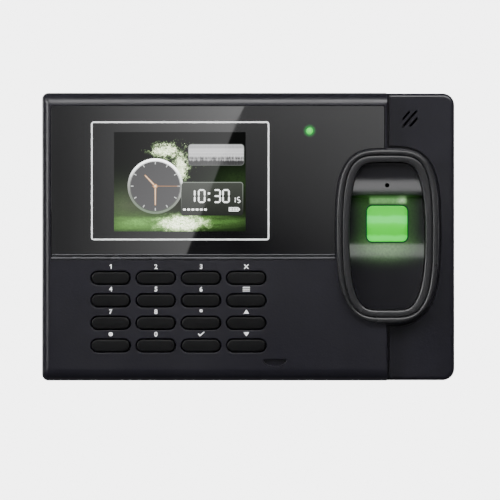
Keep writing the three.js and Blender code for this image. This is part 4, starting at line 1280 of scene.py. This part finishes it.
NODE_MATERIALS = (
    (casing, ["usb_door"]),
    (silicone, ["keypad_mat"]),
    (board_material, ["keypad_board", "status_board", "imager_board", "main_board"]),
    (steel, ["display_frame", "coin_cell", "ethernet_jack", "usb_port", "usb_door_pin"]),
    (clear, ["sensor_prism"]),
    (dark_plastic, ["optics_housing", "speaker_cone", "processor", "buzzer", "power_jack", "tamper_switch"]),
    (dark_plastic, ["sensor_lead"]),
    (dark_steel, ["speaker_frame", "lock_screw"] + [f"case_screw_{i}" for i in range(1, 5)]),
    (brass, ["cell_clip"]),
    (blue_plastic, ["lock_relay"]),
    (green_plastic, ["terminal_block", "tamper_plunger"]),
    (orange_film, ["display_ribbon", "speaker_lead"]),
)
BEVELLED = {"usb_door": 0.2, "power_jack": 0.25, "ethernet_jack": 0.25}  # widths in mm
BEVELLED.update({"terminal_block": 0.2, "usb_port": 0.15})
for material, nodes in NODE_MATERIALS:
    for node in nodes:
        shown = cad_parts[node].data.materials
        shown.clear()
        shown.append(material)
for node, width in BEVELLED.items():
    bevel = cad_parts[node].modifiers.new("bevel", "BEVEL")
    bevel.width = width * MM
    bevel.segments = 2
    bevel.limit_method = "ANGLE"
    bevel.angle_limit = radians(40)
    bevel.harden_normals = True

# ---------------- stage, lights and camera


def stage_plane(name, corners, material, camera_visible=True, lights_object=False):
    """A stage surface; unless it lights the object it is seen by the camera only."""
    mesh = bpy.data.meshes.new(name)
    mesh.from_pydata(corners, [], [tuple(range(len(corners)))])
    obj = linked(name, mesh)
    mesh.materials.append(material)
    obj.visible_camera = camera_visible
    obj.visible_diffuse = False
    obj.visible_glossy = lights_object


def pale(name, strength):
    """A matt pale surface that gives off an even light."""
    return Nodes(name).look((0.86, 0.86, 0.86, 1), 0.9, (1, 1, 1, 1), strength)


ROOM = 3.5  # half the side of the pale room
FLOOR_Z, CEILING_Z = -0.95, 3.5
room_corners = [(-ROOM, -ROOM), (ROOM, -ROOM), (ROOM, ROOM), (-ROOM, ROOM)]
stage_plane("floor", [(x, y, FLOOR_Z) for x, y in room_corners], pale("pale_floor", 2.4))
stage_plane("ceiling", [(x, y, CEILING_Z) for x, y in room_corners], pale("pale_ceiling", 3.5))
for turn in range(4):
    (x0, y0), (x1, y1) = room_corners[turn], room_corners[(turn + 1) % 4]
    wall = [(x0, y0, FLOOR_Z), (x1, y1, FLOOR_Z), (x1, y1, CEILING_Z), (x0, y0, CEILING_Z)]
    stage_plane(f"backdrop_{turn + 1}", wall, pale(f"pale_backdrop_{turn + 1}", 5.0))

VIEW_WIDTH = 0.2264  # metres across the picture at the panel's face
LENS_LENGTH, SENSOR_WIDTH = 150.0, 36
distance = VIEW_WIDTH / 2 / tan(atan(SENSOR_WIDTH / 2 / LENS_LENGTH))
CAMERA_X, CAMERA_Z = 0.00068, -0.00602

camera_data = bpy.data.cameras.new("camera")
camera_data.lens = LENS_LENGTH
camera_data.sensor_width = SENSOR_WIDTH
camera_data.clip_start = 0.05
camera_data.clip_end = 20
camera = linked("camera", camera_data)
camera.location = (CAMERA_X, -FACE * MM - distance, CAMERA_Z)
camera.rotation_euler = (radians(90), 0, 0)
bpy.context.scene.camera = camera


LENS_REFLECTANCE = 0.04
CARD_Y = camera.location.y - 0.02
REACH = (abs(CARD_Y) - FACE * MM) / distance  # the card lies this much further from the lens than the camera


def mirrored(x, z):
    """Where the card must be for the lens to show it at x, z (millimetres) from the camera."""
    return (x * MM + (x * MM - CAMERA_X) * REACH, CARD_Y, z * MM + (z * MM - CAMERA_Z) * REACH)


def gloss_card():
    """Light of the card behind the camera that the lens mirrors: bright left of a slanted edge, dim right."""
    n = Nodes("gloss_card_light")
    x, _, z = n.axes()
    lens_x = (x + CAMERA_X * REACH) / ((1 + REACH) * MM)
    lens_z = (z + CAMERA_Z * REACH) / ((1 + REACH) * MM)
    height = n.remap(lens_z, -4.2, 56.0)
    along = n.remap(lens_x, -86.3, -5.7)
    climb = along ** 1.29 * 0.122 + 0.022
    left = climb * (height * 0.3 + 1.0)
    sideways = (lens_x + 2.0) * (0.031 / 62.4)
    right = n.more(height * 0.046 + 0.001 + sideways, 0.003)
    edge = lens_z * CARD_SLANT + CARD_FOOT
    side = n.remap(edge - lens_x, -0.25, 0.25)
    beyond = n.remap(lens_x, 44.0, 46.0)
    beneath = n.remap(lens_z, 28.0, 31.0, 1.0, 0.0)
    right = right * (1.0 - beyond * beneath)
    mix = left * side + right * (1.0 - side)
    return n.look((0, 0, 0, 1), None, (1, 1, 1, 1), mix * (1 / LENS_REFLECTANCE), 0.0)


card_corners = [mirrored(x, z) for x, z in ((-92, 65), (66, 65), (66, -12), (-92, -12))]
stage_plane("gloss_card", card_corners, gloss_card(), camera_visible=False, lights_object=True)


def area_light(name, location, width, height, power):
    """A softbox that faces the object and isn't seen by the camera."""
    data = bpy.data.lights.new(name, "AREA")
    data.shape = "RECTANGLE"
    data.size, data.size_y = width, height
    data.energy = power
    made = linked(name, data)
    made.location = location
    made.visible_camera = False
    made.rotation_euler = (-Vector(location)).to_track_quat("-Z", "Y").to_euler()
    return made


area_light("top_softbox", (0.15, -0.87, 0.73), 1.4, 0.42, 15)
area_light("left_softbox", (-1.12, -0.80, 0.42), 0.45, 0.8, 14)
fill = area_light("fill_softbox", (0.30, -1.05, -0.62), 0.5, 0.5, 3.3)
fill.visible_glossy = False
area_light("back_softbox_left", (-0.85, 1.0, 0.2), 0.5, 0.5, 5)
area_light("back_softbox_right", (0.85, 1.0, 0.2), 0.5, 0.5, 5)

FRONT_SKY, BACK_SKY = 0.07, 0.32  # even light from the room before and behind the wall plane
world = bpy.data.worlds.new("studio")
bpy.context.scene.world = world
world.use_nodes = True
sky = world.node_tree
sky.nodes["Background"].inputs["Color"].default_value = (0.95, 0.97, 1.0, 1)
towards = sky.nodes.new("ShaderNodeSeparateXYZ")
behind = sky.nodes.new("ShaderNodeMapRange")
for place, value in ((1, 0.1), (2, 0.6), (3, FRONT_SKY), (4, BACK_SKY)):
    behind.inputs[place].default_value = value
sky.links.new(sky.nodes.new("ShaderNodeTexCoord").outputs["Generated"], towards.inputs[0])
sky.links.new(towards.outputs["Y"], behind.inputs[0])
sky.links.new(behind.outputs[0], sky.nodes["Background"].inputs["Strength"])
